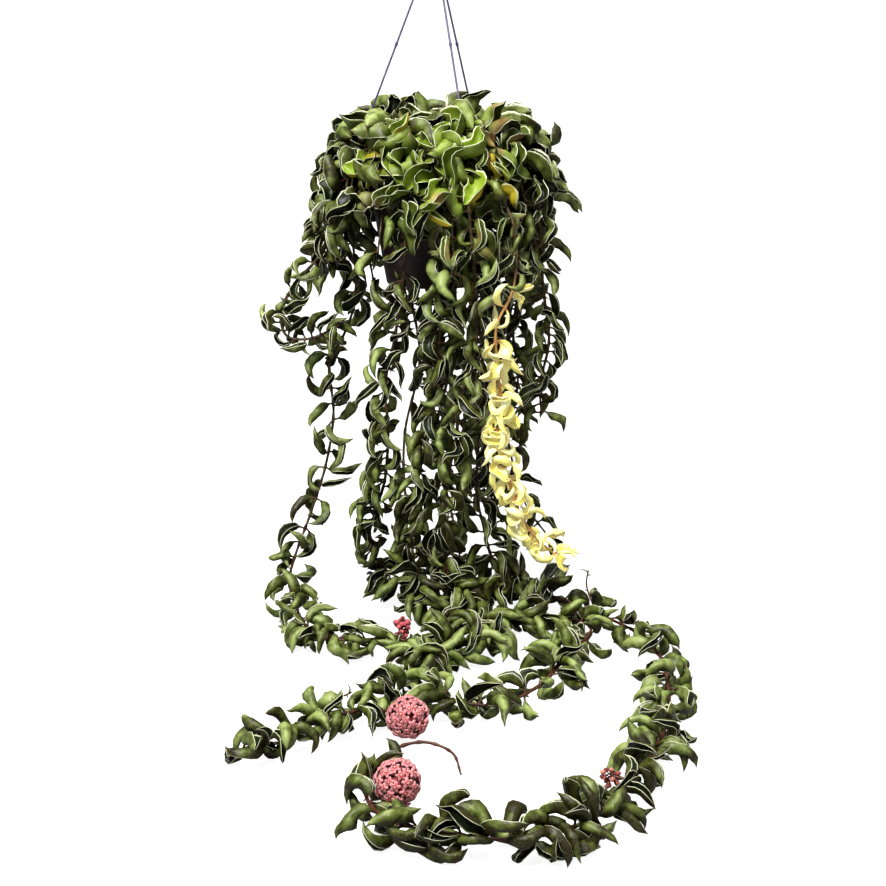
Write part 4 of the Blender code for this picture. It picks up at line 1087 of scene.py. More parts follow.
@dataclass(frozen=True)
class LeafFinish:
    """The skin of a folded leaf: mottled outside, dark and glossy in the fold, a pale wavy lip.

    The outside carries painted light and shade: lighter on its side towards the key light, darker towards
    the stalk and the lips, near the viewer and low in the mass. The green fold is painted near black as
    shade, and a painted glow may be given.
    """

    name: str
    # The darkest mottling, also the colour of the painted shade towards the lips.
    dark: tuple
    middle: tuple
    light: tuple
    hollow: tuple
    lip: tuple
    stalk: tuple
    tip: tuple
    warm: tuple
    fresh: tuple
    # The colour of the painted shade towards the stalk.
    foot: tuple
    blush: tuple = (176, 118, 92)
    roughness: float = 0.46
    hollow_roughness: float = 0.42
    # A painted glow: the leaf gives off light of its own at this strength, in its light colour.
    painted_glow: float = 0.0

    def make(self) -> Material:
        """Reads the leaf's painted numbers, its warmth and Object coordinates.

        Returns:
            The material.
        """
        material, desk, shader = new_material(self.name)
        paint, place, warmth = desk.painted("paint"), desk.place(), desk.painted("warmth")["Fac"]
        across, inside, along = desk.add("ShaderNodeSeparateColor", {0: paint["Color"]}).outputs[:3]
        wander = desk.sums("SUBTRACT", desk.noise(place, 160.0, 1.0), 0.5)
        zones = Groups.use(desk, "leaf_zones", {"Across": across, "Inside": inside, "Along": along,
                                                "Wander": wander})
        # The alpha holds the leaf's own tone with painted light and shade; it shifts the mottling from dark
        # to light.
        shift = desk.sums("MULTIPLY_ADD", paint["Alpha"], 0.42, -0.21)
        skin = desk.mottled(place, 85.0, (self.dark, self.middle, self.light), shift)
        fresh = desk.mix(0.65, skin["Colour"], self.fresh)
        colour = desk.mix(desk.ease(warmth, 0.0, 0.5), skin["Colour"], fresh)
        blush = desk.times(desk.ease(desk.noise(place, 24.0, 1.0), 0.56, 0.70), desk.ease(warmth, 0.04, 0.25))
        colour = desk.mix(desk.times(blush, 0.5), colour, self.blush)
        colour = desk.mix(desk.ease(warmth, 0.5, 1.0), colour, self.warm)
        # Painted shade: the outside darkens towards the lips, next to the slit.
        colour = desk.mix(desk.times(desk.ease(across, 0.45, 0.93), 0.4), colour, self.dark)
        # Painted shade: the outside darkens and browns towards the stalk, where the leaf meets its stem.
        colour = desk.mix(desk.times(desk.fall(along, 0.10, 0.42), 0.6), colour, self.foot)
        # The inside of the fold: its own dark colour, which in the green finish is painted near black as the
        # shade in the fold.
        hollow = desk.mix(desk.times(skin["Clouds"], 0.22), self.hollow, skin["Colour"])
        # Fresh leaves are bright green inside: partly their young colour, partly painted light falling into
        # the fold.
        hollow = desk.mix(desk.ease(warmth, 0.05, 0.5), hollow, self.fresh)
        colour = desk.mix(zones["Hollow"], colour, hollow)
        colour = desk.mix(zones["Tip"], colour, self.tip)
        colour = desk.mix(zones["Stalk"], colour, self.stalk)
        # The pale lip dims where the alpha is low, in painted shade as well as on leaves darker of their own.
        colour = desk.mix(desk.times(zones["Lip"], desk.ease(paint["Alpha"], -0.9, 0.6)), colour, self.lip)
        rough = desk.sums("MULTIPLY_ADD", skin["Clouds"], 0.16, self.roughness - 0.08)
        # The emission is a painted glow, given to the pale yellow leaves alone.
        desk.feed(shader, {"Base Color": colour,
                           "Roughness": desk.blend(zones["Hollow"], rough, self.hollow_roughness),
                           "Normal": desk.bump(0.6, 0.002, skin["Height"]),
                           "Emission Color": linear(*self.light), "Emission Strength": self.painted_glow,
                           "Specular IOR Level": 0.4, "Coat Weight": 0.06, "Coat Roughness": 0.35})
        return material


@dataclass(frozen=True)
class BarkFinish:
    """The bark of a stem: clouded green-brown, redder where it lies low on the floor."""

    name: str
    dark: tuple
    middle: tuple
    light: tuple
    low: tuple
    low_from: float = -0.66
    low_to: float = -0.735

    def make(self) -> Material:
        """Reads Object coordinates alone.

        Returns:
            The material.
        """
        material, desk, shader = new_material(self.name)
        place = desk.place()
        skin = desk.mottled(place, 140.0, (self.dark, self.middle, self.light))
        height = desk.add("ShaderNodeSeparateXYZ", {0: place}).outputs[2]
        lowness = desk.ease(desk.times(height, -1.0), -self.low_from, -self.low_to)
        desk.feed(shader, {"Base Color": desk.mix(desk.times(lowness, 0.75), skin["Colour"], self.low),
                           "Roughness": desk.sums("MULTIPLY_ADD", skin["Clouds"], 0.2, 0.45),
                           "Normal": desk.bump(0.6, 0.0006, skin["Height"])})
        return material


@dataclass(frozen=True)
class PlasticFinish:
    """Moulded plastic with a faint grain and soft clouds of wear."""

    name: str
    base: tuple
    worn: tuple
    roughness: float = 0.38
    coat: float = 0.1
    shine: float = 0.4

    def make(self) -> Material:
        """Reads Object coordinates alone.

        Returns:
            The material.
        """
        material, desk, shader = new_material(self.name)
        skin = desk.mottled(desk.place(), 60.0, (self.base, self.base, self.worn))
        rough = desk.sums("MULTIPLY_ADD", skin["Clouds"], 0.2, self.roughness - 0.1)
        desk.feed(shader, {"Base Color": skin["Colour"], "Roughness": rough,
                           "Normal": desk.bump(0.12, 0.0004, skin["Height"]),
                           "Coat Weight": self.coat, "Coat Roughness": 0.3, "Specular IOR Level": self.shine})
        return material


@dataclass(frozen=True)
class SoilFinish:
    """Damp potting mix: dark crumbs with paler bits of bark."""

    name: str = "potting_mix"
    crumb: tuple = (38, 27, 20)
    bark: tuple = (92, 64, 42)
    grit: tuple = (176, 168, 152)

    def make(self) -> Material:
        """Reads Object coordinates alone.

        Returns:
            The material.
        """
        material, desk, shader = new_material(self.name)
        cells = desk.add("ShaderNodeTexVoronoi", {"Vector": desk.place(), "Scale": 260.0}).outputs
        pick = desk.add("ShaderNodeSeparateColor", {0: cells["Color"]}).outputs[0]
        colour = desk.mix(desk.ease(pick, 0.55, 0.75), self.crumb, self.bark)
        desk.feed(shader, {"Base Color": desk.mix(desk.ease(pick, 0.93, 0.95), colour, self.grit),
                           "Roughness": 0.85, "Normal": desk.bump(0.9, 0.002, cells["Distance"])})
        return material


@dataclass(frozen=True)
class PetalFinish:
    """A downy petal: pale at its rim, deeper at its foot, with a fuzz that catches the light."""

    name: str
    rim: tuple
    heart: tuple
    centre: tuple
    eye: tuple
    deep: tuple
    fuzz: float = 0.6

    def make(self) -> Material:
        """Reads the painted numbers: the share from the middle out and the floret's own shade.

        Returns:
            The material.
        """
        material, desk, shader = new_material(self.name)
        parts = desk.add("ShaderNodeSeparateColor", {0: desk.painted("paint")["Color"]}).outputs
        place = desk.place()
        clouds = desk.noise(place, 260.0, 2.0, 0.5)
        share = desk.sums("ADD", parts[0], desk.sums("MULTIPLY_ADD", clouds, 0.5, -0.25))
        colour = desk.mix(desk.ease(share, 0.3, 0.8), self.heart, self.rim)
        colour = desk.mix(desk.fall(parts[0], 0.19, 0.30), colour, self.eye)
        colour = desk.mix(desk.fall(parts[0], 0.09, 0.15), colour, self.centre)
        down = desk.noise(place, 2400.0, 2.0, 0.6)
        desk.feed(shader, {"Base Color": desk.mix(desk.ease(parts[1], 0.4, 1.0), colour, self.deep),
                           "Roughness": 0.7, "Normal": desk.bump(0.5, 0.0004, down),
                           "Sheen Weight": self.fuzz, "Sheen Roughness": 0.4})
        return material


# In both leaf finishes foot is the painted shade towards the stalk and dark also the painted shade towards
# the lips; the green hollow is painted near black as shade, and the yellow leaves have a painted glow.
GREEN = LeafFinish("leaf_green", dark=(44, 40, 10), middle=(92, 103, 44), light=(150, 163, 98),
                   hollow=(18, 28, 8), lip=(214, 216, 184), stalk=(84, 56, 34), tip=(84, 72, 36),
                   warm=(196, 176, 44), fresh=(136, 158, 46), foot=(38, 31, 8))
YELLOW = LeafFinish("leaf_pale_yellow", dark=(240, 230, 116), middle=(248, 245, 158), light=(253, 251, 214),
                    hollow=(224, 208, 84), lip=(252, 248, 224), stalk=(180, 112, 56), tip=(186, 140, 70),
                    warm=(244, 228, 84), fresh=(226, 222, 116), foot=(240, 214, 104), painted_glow=0.10)
BARK = BarkFinish("stem_bark", dark=(44, 36, 22), middle=(82, 70, 42), light=(128, 112, 72),
                  low=(88, 44, 32))
PALE_BARK = BarkFinish("pale_stem_bark", dark=(44, 36, 22), middle=(82, 70, 42), light=(128, 112, 72),
                       low=(206, 158, 98), low_from=-0.36, low_to=-0.40)
POT_PLASTIC = PlasticFinish("pot_plastic", base=(60, 42, 42), worn=(94, 78, 84), roughness=0.5, coat=0.0)
STRAND_PLASTIC = PlasticFinish("strand_plastic", base=(88, 84, 112), worn=(118, 114, 140), roughness=0.45)
HOOK_PLASTIC = PlasticFinish("hook_plastic", base=(62, 58, 78), worn=(94, 90, 110), roughness=0.42)
PETAL = PetalFinish("petal_pink", rim=(214, 140, 142), heart=(176, 80, 86), centre=(250, 214, 186),
                    eye=(150, 36, 46), deep=(150, 66, 70))
BUD = PetalFinish("bud_red", rim=(216, 112, 118), heart=(160, 58, 66), centre=(150, 50, 58),
                  eye=(120, 36, 44), deep=(150, 48, 56), fuzz=0.3)
SPENT = PetalFinish("spent_salmon", rim=(226, 140, 122), heart=(160, 66, 58), centre=(150, 60, 52),
                    eye=(120, 40, 40), deep=(112, 44, 38))


def leaf_skin(form: LeafForm, shade: float) -> tuple[Array, Array]:
    """A leaf's skin on a grid: rows along it, and round it the outside, one lip, the inside, the other lip.

    Across the fold a half starts square to the opening and turns by fold * tanh(1.3 v) / tanh(1.3) at the
    share v from keel to margin, so its points are the running sums of (cos, sin) of that angle times the
    width. The inside is the outside moved in by the thickness. Towards stalk and tip the section eases
    into a small circle. What would reach below the floor is lifted, more so away from the stalk.

    Args:
        form: The leaf.
        shade: How light the leaf is, from 0 to 1, with painted shade near the viewer and low in the mass
            included.

    Returns:
        Points shaped rows by points round by 3, and the painted numbers across, inside, along and shade,
        where shade also holds painted light on the leaf's side towards the key light and painted shade on the
        other.
    """
    places = np.array(PLAIN_ROWS if form.look.plain else LEAF_ROWS)
    picks = PLAIN_INNER_PICKS if form.look.plain else INNER_PICKS
    around = 12 + 2 * len(picks)
    points, _, opening, across = form.fine_line(places)
    width = form.fine_width(places)
    share = np.linspace(0.0, 1.0, HALF_STEPS + 1)
    shape = np.tanh(FINE_SHARPNESS * share) / math.tanh(FINE_SHARPNESS)
    flare = FLARE * eased(share, FLARE_FROM, 1.0)
    keel_thick = KEEL_SHARE * width[:, None]
    edge_thick = LIP_THICKNESS * eased(width, 0.0, LIP_FULL_AT * form.half_width)[:, None]
    thick = keel_thick + (edge_thick - keel_thick) * share ** THICK_POWER
    halves = []
    for fold in form.fine_folds(places):
        angles = np.outer(fold, shape) - flare
        out, up = np.zeros_like(angles), np.zeros_like(angles)
        step = width[:, None] / HALF_STEPS
        out[:, 1:] = np.cumsum(0.5 * (np.cos(angles[:, 1:]) + np.cos(angles[:, :-1])), axis=1) * step
        up[:, 1:] = np.cumsum(0.5 * (np.sin(angles[:, 1:]) + np.sin(angles[:, :-1])), axis=1) * step
        halves.append((angles, out, up))
    middle = 0.5 * np.maximum(halves[0][2][:, -1:], halves[1][2][:, -1:])
    sides = []
    for sign, (angles, out, up) in zip((1.0, -1.0), halves):
        inner_out = out - np.sin(angles) * thick
        inner_up = up + np.cos(angles) * thick
        edge, turned_edge = thick[:, -1:], angles[:, -1:]
        level, upright = np.cos(turned_edge), np.sin(turned_edge)
        lip_out = out[:, -1:] - 0.5 * upright * edge + LIP_ROUND * level * edge
        lip_up = up[:, -1:] + 0.5 * level * edge + LIP_ROUND * upright * edge
        outer, inner = list(OUTER_PICKS), list(picks)
        sides.append([(sign * out[:, outer], up[:, outer]), (sign * lip_out, lip_up),
                      (sign * inner_out[:, inner], inner_up[:, inner])])
    keel_inside = (np.zeros((len(places), 1)), keel_thick)
    left, right = sides
    order = [right[0], tuple(part[:, -2::-1] for part in left[0]), left[1], left[2], keel_inside,
             tuple(part[:, ::-1] for part in right[2]), right[1]]
    section_out = np.hstack([part[0] for part in order])
    section_up = np.hstack([part[1] for part in order]) - middle
    angles = np.radians(-90.0 + (np.arange(around) - 4) * 360.0 / around)
    radius = np.interp(places, ROUND_PLACES, ROUND_RADII)[:, None]
    folded = (eased(places, *STALK_FOLDS) * (1.0 - eased(places, *TIP_UNFOLDS)))[:, None]
    section_out = folded * section_out + (1.0 - folded) * radius * np.cos(angles)
    section_up = folded * section_up + (1.0 - folded) * radius * np.sin(angles)
    skin = points[:, None] + across[:, None] * section_out[:, :, None]
    skin = skin + opening[:, None] * section_up[:, :, None]
    lift = max(0.0, FLOOR - MEETING_DROP + FLOOR_CLEAR - float(skin[:, :, 2].min()))
    skin[:, :, 2] += lift * eased(places, 0.0, LIFTED_BY)[:, None]
    skin[:, :, 2] -= TOP_SQUASH * np.maximum(skin[:, :, 2] - SQUASH_ABOVE, 0.0)
    outer, inner = share[list(OUTER_PICKS)], share[list(picks)]
    paint = np.empty((len(places), around, 4))
    paint[:, :, 0] = np.concatenate([outer, outer[-2::-1], [LIP_ACROSS], inner, [0.0], inner[::-1],
                                     [LIP_ACROSS]])
    paint[:, :, 1] = np.array([0.0] * 9 + [0.5] + [1.0] * (1 + 2 * len(picks)) + [0.5])
    paint[:, :, 2] = places[:, None]
    # The fourth number: the leaf's shade plus painted light on its side towards the key light and painted
    # shade on the other.
    out = skin - points[:, None]
    painted_light = (out @ PAINTED_LIGHT_DIRECTION) / np.maximum(np.linalg.norm(out, axis=2), SHORTEST_OUT)
    paint[:, :, 3] = shade + PAINTED_LIGHT_SHARE * painted_light
    return skin[:, ::-1], paint[:, ::-1]


@dataclass
class Plan:
    """A stem with the lengths of its leaves at root and end, and the share of it that is bare at the end."""

    stem: Stem
    lengths: tuple[float, float]
    bare: float
    leaves: list[LeafForm] = field(default_factory=list)
    nodes: list[float] = field(default_factory=list)


def over_the_rim(azimuth: float, circle: float) -> list:
    """The points of a stem from its root in the soil up and over the pot's rim.

    Args:
        azimuth: Where it crosses the rim, in degrees.
        circle: How far from the pot's axis its root is.

    Returns:
        The points.
    """
    return [polar(circle, azimuth, SOIL_TOP - ROOT_DEPTH), polar(circle, azimuth, SOIL_TOP + SPROUT),
            polar(circle + CLIMB_SHARE * (CREST_RADIUS - circle), azimuth, CREST_HEIGHT - CREST_ROUND),
            polar(CREST_RADIUS - CREST_START, azimuth, CREST_HEIGHT)]


def strand_line(azimuth: float, start_radius: float) -> Array:
    """A strand from the hub straight down to the rim, and upright through its hole.

    Args:
        azimuth: Its direction from the pot's axis, in degrees.
        start_radius: How far from the axis it starts.

    Returns:
        Its first point, its corner and its last point.
    """
    slope = STRAND_CIRCLE / (RIM_HEIGHT + STRAND_BEND)
    return lowered([polar(start_radius, azimuth, start_radius / slope),
                    polar(STRAND_CIRCLE, azimuth, RIM_HEIGHT + STRAND_BEND),
                    polar(STRAND_CIRCLE, azimuth, RIM_HEIGHT - STRAND_TAIL)])


def stalk_line(stem: Stem, centre: Array) -> Array:
    """A flower stalk: from inside the head to just clear of the nearest stretch of the stem's runs.

    Args:
        stem: The stem that carries the head.
        centre: The head's middle.

    Returns:
        The two ends of the stalk.
    """
    knots = stem.line[stem.kept]
    nearest = None
    for start, end in zip(knots, knots[1:]):
        run = end - start
        share = np.clip((centre - start) @ run / (run @ run), 0.0, 1.0)
        spot = start + run * share
        if nearest is None or np.linalg.norm(spot - centre) < np.linalg.norm(nearest - centre):
            nearest = spot
    away = unit(centre - nearest)
    return np.array([centre - away * STALK_SINK, nearest + away * STALK_STOP])


@dataclass(frozen=True)
class LeafRound:
    """One round of leaves along the stems: which places it takes and how its leaves grow."""

    name: str
    habit: Habit
    tries: int
    guard: float
    offset: float = 0.0
    stretch: float = 1.0
    up_to: float = 9.0
    outward: bool = False
    only: tuple[str, ...] = ()
    inside: tuple = ((-9.0, -9.0, -9.0), (9.0, 9.0, 9.0))
    look: Look = Look()
    towards: tuple | None = None
    covers: bool = False
    solids: bool | None = None


# The habits and looks of the leaves, and the regions and stems of the rounds.
CROWN_HABIT = Habit(half_width=(0.24, 0.29), curl=(150.0, 300.0), flick=(60.0, 140.0), flick_chance=0.3,
                    flick_start=0.55, roll_spread=50.0, wave=(18.0, 32.0), wave_count=(1.0, 1.7),
                    onward=(0.0, 0.9), droop=(0.4, 1.1))
VINE_HABIT = Habit(half_width=(0.23, 0.29), curl=(125.0, 225.0), flick=(30.0, 90.0), flick_chance=0.3,
                   roll_spread=36.0, over_chance=0.12, twist=(-40.0, 40.0), wave=(4.0, 24.0))
PALE_HABIT = Habit(half_width=(0.18, 0.24), curl=(150.0, 300.0), flick=(30.0, 90.0), flick_chance=0.2,
                   roll_spread=60.0, over_chance=0.3, twist=(-70.0, 70.0), wave=(10.0, 34.0))
DROOP_HABIT = Habit(half_width=(0.20, 0.26), curl=(110.0, 210.0), flick=(30.0, 90.0), flick_chance=0.4,
                    roll_spread=40.0, twist=(-50.0, 50.0), wave=(4.0, 22.0), lean=(-0.7, 0.9),
                    onward=(-0.9, 0.9), droop=(0.5, 1.4), aside=0.5)
REACH_HABIT = Habit(half_width=(0.16, 0.20), curl=(50.0, 110.0), flick_chance=0.0, roll_spread=20.0,
                    wave=(4.0, 16.0), lean=(-0.3, 0.3), onward=(-0.3, 0.3), droop=(0.6, 1.2), aside=0.0)
FLOOR_LEAVES = -0.70
FLOOR_LOOK = Look(full=1.1, blunt=4.2, flip=0.45)
CROWN_LOOK = Look(closed=(98.0, 134.0), sway=1.9, swerve=(0.03, 0.10), blunt=3.8, full=1.4, gape=(0.0, 20.0),
                  show=0.8, plain=False)
PALE_LOOK = Look(closed=(84.0, 124.0), sway=1.5, swerve=(0.0, 0.08), blunt=3.0, full=1.22, gape=(0.0, 10.0))
MIDDLE_VINES = ("vine_front_middle", "vine_back_middle", "vine_back_left", "vine_front", "vine_right_inner",
                "vine_back_middle_right", "vine_left_loop", "vine_right", "vine_left_short")
FRONT_STEMS = ("vine_front", "vine_front_middle", "vine_yellow", "vine_floor_arc", "vine_right_inner",
               "vine_front_left", "rim_spray_05", "rim_spray_06")
ARC_FRONT = ((-0.025, -0.70, -9.0), (0.145, -0.53, 9.0))
ARC_SIDE = ((0.145, -0.62, -9.0), (0.30, -0.36, 9.0))
PALE_MIDDLE = ((-9.0, -9.0, -0.66), (9.0, 9.0, -0.47))
PALE_LOW = ((-9.0, -9.0, -9.0), (9.0, 9.0, -0.43))
LEFT_FLOOR = ((-0.20, -0.50, -9.0), (-0.03, -0.14, -0.70))
FLOOR_HEAP = ((-0.06, -0.30, -9.0), (0.13, 0.03, -0.69))
HANGING = ((-9.0, -9.0, -0.70), (9.0, 9.0, 9.0))
OVER_MIDDLE = ((0.004, -0.40, -9.0), (0.05, -0.33, 9.0))
OVER_FRONT = ((-0.069, -0.60, -9.0), (-0.047, -0.53, 9.0))
NEARER = (0.0, -1.0, 0.45)
YELLOW_VINE, FLOOR_ARC = "vine_yellow", "vine_floor_arc"
GREEN_ABOVE = -0.372
ROUNDS = (
    LeafRound("", Habit(), LEAF_TRIES, LEAF_GUARD, solids=True),
    LeafRound("crown ", CROWN_HABIT, 18, -0.0016, 0.5, 1.25, up_to=CROWN_STRETCH, outward=True),
    LeafRound("apron ", CROWN_HABIT, 8, -0.0014, 0.75, 1.2, up_to=0.215, outward=True, only=FRONT_STEMS,
              look=CROWN_LOOK),
    LeafRound("yellow ", PALE_HABIT, 12, -0.0014, 0.0, 1.3, only=(YELLOW_VINE,), inside=PALE_LOW,
              look=PALE_LOOK),
    LeafRound("yellow again ", PALE_HABIT, 7, -0.0022, 0.5, 1.1, only=(YELLOW_VINE,), inside=PALE_MIDDLE,
              look=PALE_LOOK),
    LeafRound("left side ", VINE_HABIT, 10, -0.0018, 0.5, 1.05, only=("vine_front_left",), inside=HANGING,
              towards=(-1.0, -0.5, 0.1)),
    LeafRound("over the middle umbel ", REACH_HABIT, 60, -0.0026, 0.5, 1.6, only=("vine_front_middle",),
              inside=OVER_MIDDLE, towards=(-0.64, -0.77, 0.45), covers=True),
    LeafRound("over the front umbel ", REACH_HABIT, 40, -0.0022, 0.5, 1.0, only=(FLOOR_ARC,),
              inside=OVER_FRONT, towards=(0.8, -0.6, 0.3), covers=True),
    LeafRound("arc front ", DROOP_HABIT, 7, -0.0018, 0.0, 1.05, inside=ARC_FRONT, towards=NEARER),
    LeafRound("arc side ", DROOP_HABIT, 3, -0.0010, 0.25, inside=ARC_SIDE, towards=(-0.5, -0.4, 0.8)),
    LeafRound("between ", VINE_HABIT, 12, -0.0010, 0.0, 1.06, solids=False),
    LeafRound("crown again ", CROWN_HABIT, 10, -0.0018, 0.25, 1.1, up_to=CROWN_STRETCH, outward=True),
    LeafRound("middle ", VINE_HABIT, 6, -0.0014, 0.5, only=MIDDLE_VINES, inside=HANGING),
    LeafRound("arc again ", DROOP_HABIT, 2, -0.0018, 0.5, inside=ARC_FRONT, towards=(0.0, -1.0, 0.1)),
    LeafRound("heap ", DROOP_HABIT, 10, -0.0022, 0.5, 1.2, inside=FLOOR_HEAP, towards=NEARER),
    LeafRound("heap again ", DROOP_HABIT, 8, -0.0026, 0.25, 1.1, inside=FLOOR_HEAP, towards=NEARER),
    LeafRound("left floor ", DROOP_HABIT, 9, -0.0020, 0.5, 1.05, inside=LEFT_FLOOR, towards=NEARER),
)

# What an added leaf keeps to: the crown's outline, the box, the gaps between vines and the flower heads.
CROWN_REACH = 0.122
CROWN_TOP = -0.192
SHOULDER_REACH = 0.136
SHOULDER_LOW = -0.36
BOX_EDGE = np.array([0.003, 0.017])
FLOOR_DIP = 0.007
GAPS = (("", ((-0.088, -0.165, -0.392), (-0.047, -0.030, -0.300))),
        ("", ((-0.047, -0.165, -0.384), (0.002, -0.050, -0.350))),
        ("", ((-0.024, -0.165, -0.350), (0.004, -0.050, -0.328))),
        ("", ((-0.037, -0.135, -0.585), (-0.018, 0.0, -0.455))),
        ("", ((-0.050, 0.030, -0.630), (-0.014, 0.120, -0.465))),
        ("vine_front_left", ((-0.060, -0.125, -0.640), (-0.037, 0.120, -0.385))))
YELLOWED = np.array([(0.069, -0.105, -0.277), (0.060, -0.110, -0.262), (-0.052, -0.100, -0.250),
                     (0.070, -0.130, -0.508), (0.072, -0.130, -0.520)])
CAMERA_PLACE = (0.009, -1.87, -0.132)
VIEW_PLACE = np.array(CAMERA_PLACE)
SHOWN = {"bud_cluster": 0.012, "spent_cluster": 0.010, "umbel_front": 0.012, "umbel_middle": 0.017}

# How freely leaves turn and shrink from one try to the next, and where the outward ones turn away from.
TURN_SPREAD = 0.25
OUTWARD_SPREAD = 0.9
AIM_SPREAD = 0.6
SHRINKS_FROM = 1.15
MIDDLE_DROP = 0.02
BALL_ROWS = 7
BALL_SIDES = 10
DOWN = np.array([0.0, 0.0, -1.0])
UP = -DOWN

# The little forks of a bare twig.
FORK_SIDE = (0.1, 1.0, 0.2)
LONG_FORK = 0.009
FORK = 0.004
FORK_STEP = 0.0015


class Growth:
    """Grows every leaf of the plant: first the ones that the solids have, then the ones between them."""

    def __init__(self, box: Array) -> None:
        """Plans the stems and puts everything that stands before any leaf in the thicket.

        Args:
            box: The lowest and highest corner of the solids, which no added leaf may leave.
        """
        self.box = box
        self.plans = self.planned()
        self.stems = {plan.stem.name: plan.stem for plan in self.plans}
        self.thicket = Thicket()
        self.shown = [(lowered(BLOOMS[name][1]), clear) for name, clear in SHOWN.items()]
        self.faces = ring_faces(len(RINGS))
        self.place_fixed()

    def planned(self) -> list[Plan]:
        """Every stem with its leaf lengths, in the order in which the solids grow.

        Returns:
            The plans, still without leaves.
        """
        plans = []
        for number, (name, (azimuth, lengths, bare, route)) in enumerate(VINES.items()):
            points = over_the_rim(azimuth, ROOT_CIRCLES[number % 2])
            points.append(polar(OUTSIDE_RADIUS, azimuth, OUTSIDE_HEIGHT))
            points += [tuple(value / PER_METRE for value in spot) for spot in route]
            plans.append(Plan(Stem(name, lowered(points)), lengths, bare))
        for number, (azimuth, reach, low) in enumerate(RIM_SPRAYS, 1):
            points = over_the_rim(azimuth, ROOT_CIRCLES[(number + 1) % 2] - SPRAY_ROOT_SHIFT)
            points += [polar(OUTSIDE_RADIUS + SPRAY_WIDER, azimuth, OUTSIDE_HEIGHT + SPRAY_HIGHER),
                       polar(0.5 * (reach + OUTSIDE_RADIUS), azimuth, 0.5 * (low + OUTSIDE_HEIGHT)),
                       polar(reach, azimuth, low)]
            plans.append(Plan(Stem(f"rim_spray_{number:02d}", lowered(points)), RIM_SPRAY_LEAVES, 0.0))
        for number in range(1, HEART_SPRAYS + 1):
            azimuth = 360.0 / HEART_SPRAYS * number + HEART_FIRST
            points = [polar(HEART_CIRCLE, azimuth, SOIL_TOP - ROOT_DEPTH),
                      polar(HEART_CIRCLE, azimuth, SOIL_TOP + SPROUT),
                      polar(HEART_CIRCLE + HEART_LEAN, azimuth, SOIL_TOP + HEART_LEAN_RISE),
                      polar(HEART_REACH, azimuth, HEART_HEIGHT)]
            plans.append(Plan(Stem(f"heart_spray_{number}", lowered(points)), HEART_LEAVES, 0.0))
        return plans

    def place_fixed(self) -> None:
        """Puts the pot, the strands, the blooms, the twigs and all stems in the thicket."""
        axis = 0.1 * FIT
        edge = RIM_RADIUS + POT_GUARD
        inner = POT_TOP_RADIUS - 2 * POT_WALL
        low = RIM_HEIGHT - POT_HEIGHT
        profile = [(axis, SOIL_TOP + POT_GUARD), (inner, SOIL_TOP + POT_GUARD),
                   (inner, RIM_HEIGHT + POT_GUARD), (edge, RIM_HEIGHT + POT_GUARD),
                   (edge, RIM_HEIGHT - LIP_DEPTH - POT_GUARD),
                   (POT_TOP_RADIUS, RIM_HEIGHT - LIP_DEPTH - POT_GUARD),
                   (POT_BASE_RADIUS + POT_GUARD, low), (axis, low - POT_GUARD)]
        self.thicket.add_rings("pot", turned(profile, POT_STEPS, (0.0, 0.0, -MEETING_DROP)))
        for name, azimuth in STRAND_AZIMUTHS.items():
            line = strand_line(azimuth, STRAND_START_RADIUS)
            self.thicket.add_rings("strand " + name, tube(line, NIB_RADIUS + FIT))
        for name, (carrier, centre, _, reach, _) in BLOOMS.items():
            line = stalk_line(self.stems[carrier], lowered(centre))
            self.thicket.add_rings(name + " stalk", tube(line, STALK_RADIUS + STEM_GUARD))
            ball = reach + BALL_GUARD
            arc = np.linspace(-math.pi / 2, math.pi / 2, BALL_ROWS)
            profile = np.stack([np.maximum(ball * np.cos(arc), axis), ball * np.sin(arc)], axis=1)
            self.thicket.add_rings(name, turned(profile, BALL_SIDES, lowered(centre)))
        for plan in self.plans:
            stem = plan.stem
            self.thicket.add_rings(stem.name, tube(stem.line[stem.kept], STEM_RADIUS + STEM_GUARD))
            for twig in TWIGS.get(stem.name, []):
                self.thicket.add_rings(stem.name + " twig",
                                       tube(smooth_line(lowered(twig), 0.01), TWIG_RADIUS + STEM_GUARD))

    def outside(self, name: str, points: Array, leaf_round: LeafRound) -> bool:
        """Whether an added leaf would widen the plant or its crown, fill a gap or hide a flower head.

        Args:
            name: The stem that carries the leaf.
            points: The corners of its coarse body.
            leaf_round: Its round.

        Returns:
            True where it would.
        """
        if leaf_round.solids:
            return False
        low, high, centre = points.min(axis=0), points.max(axis=0), points.mean(axis=0)
        if high[2] > CROWN_TOP or (high[0] > SHOULDER_REACH and high[2] > SHOULDER_LOW):
            return True
        if any(name != owner and np.all(centre > gap[0]) and np.all(centre < gap[1]) for owner, gap in GAPS):
            return True
        for spot, clear in [] if leaf_round.covers else self.shown:
            sight = unit(VIEW_PLACE - spot)
            ahead = (points - spot) @ sight
            aside = np.linalg.norm(points - spot - np.outer(ahead, sight), axis=1)
            if np.any((ahead > 0.0) & (aside < clear)):
                return True
        past = np.any(low[:2] < self.box[0, :2] - BOX_EDGE) or np.any(high[:2] > self.box[1, :2] + BOX_EDGE)
        wide = np.hypot(points[:, 0], points[:, 1]).max() > CROWN_REACH
        return bool(past or (leaf_round.outward and wide))

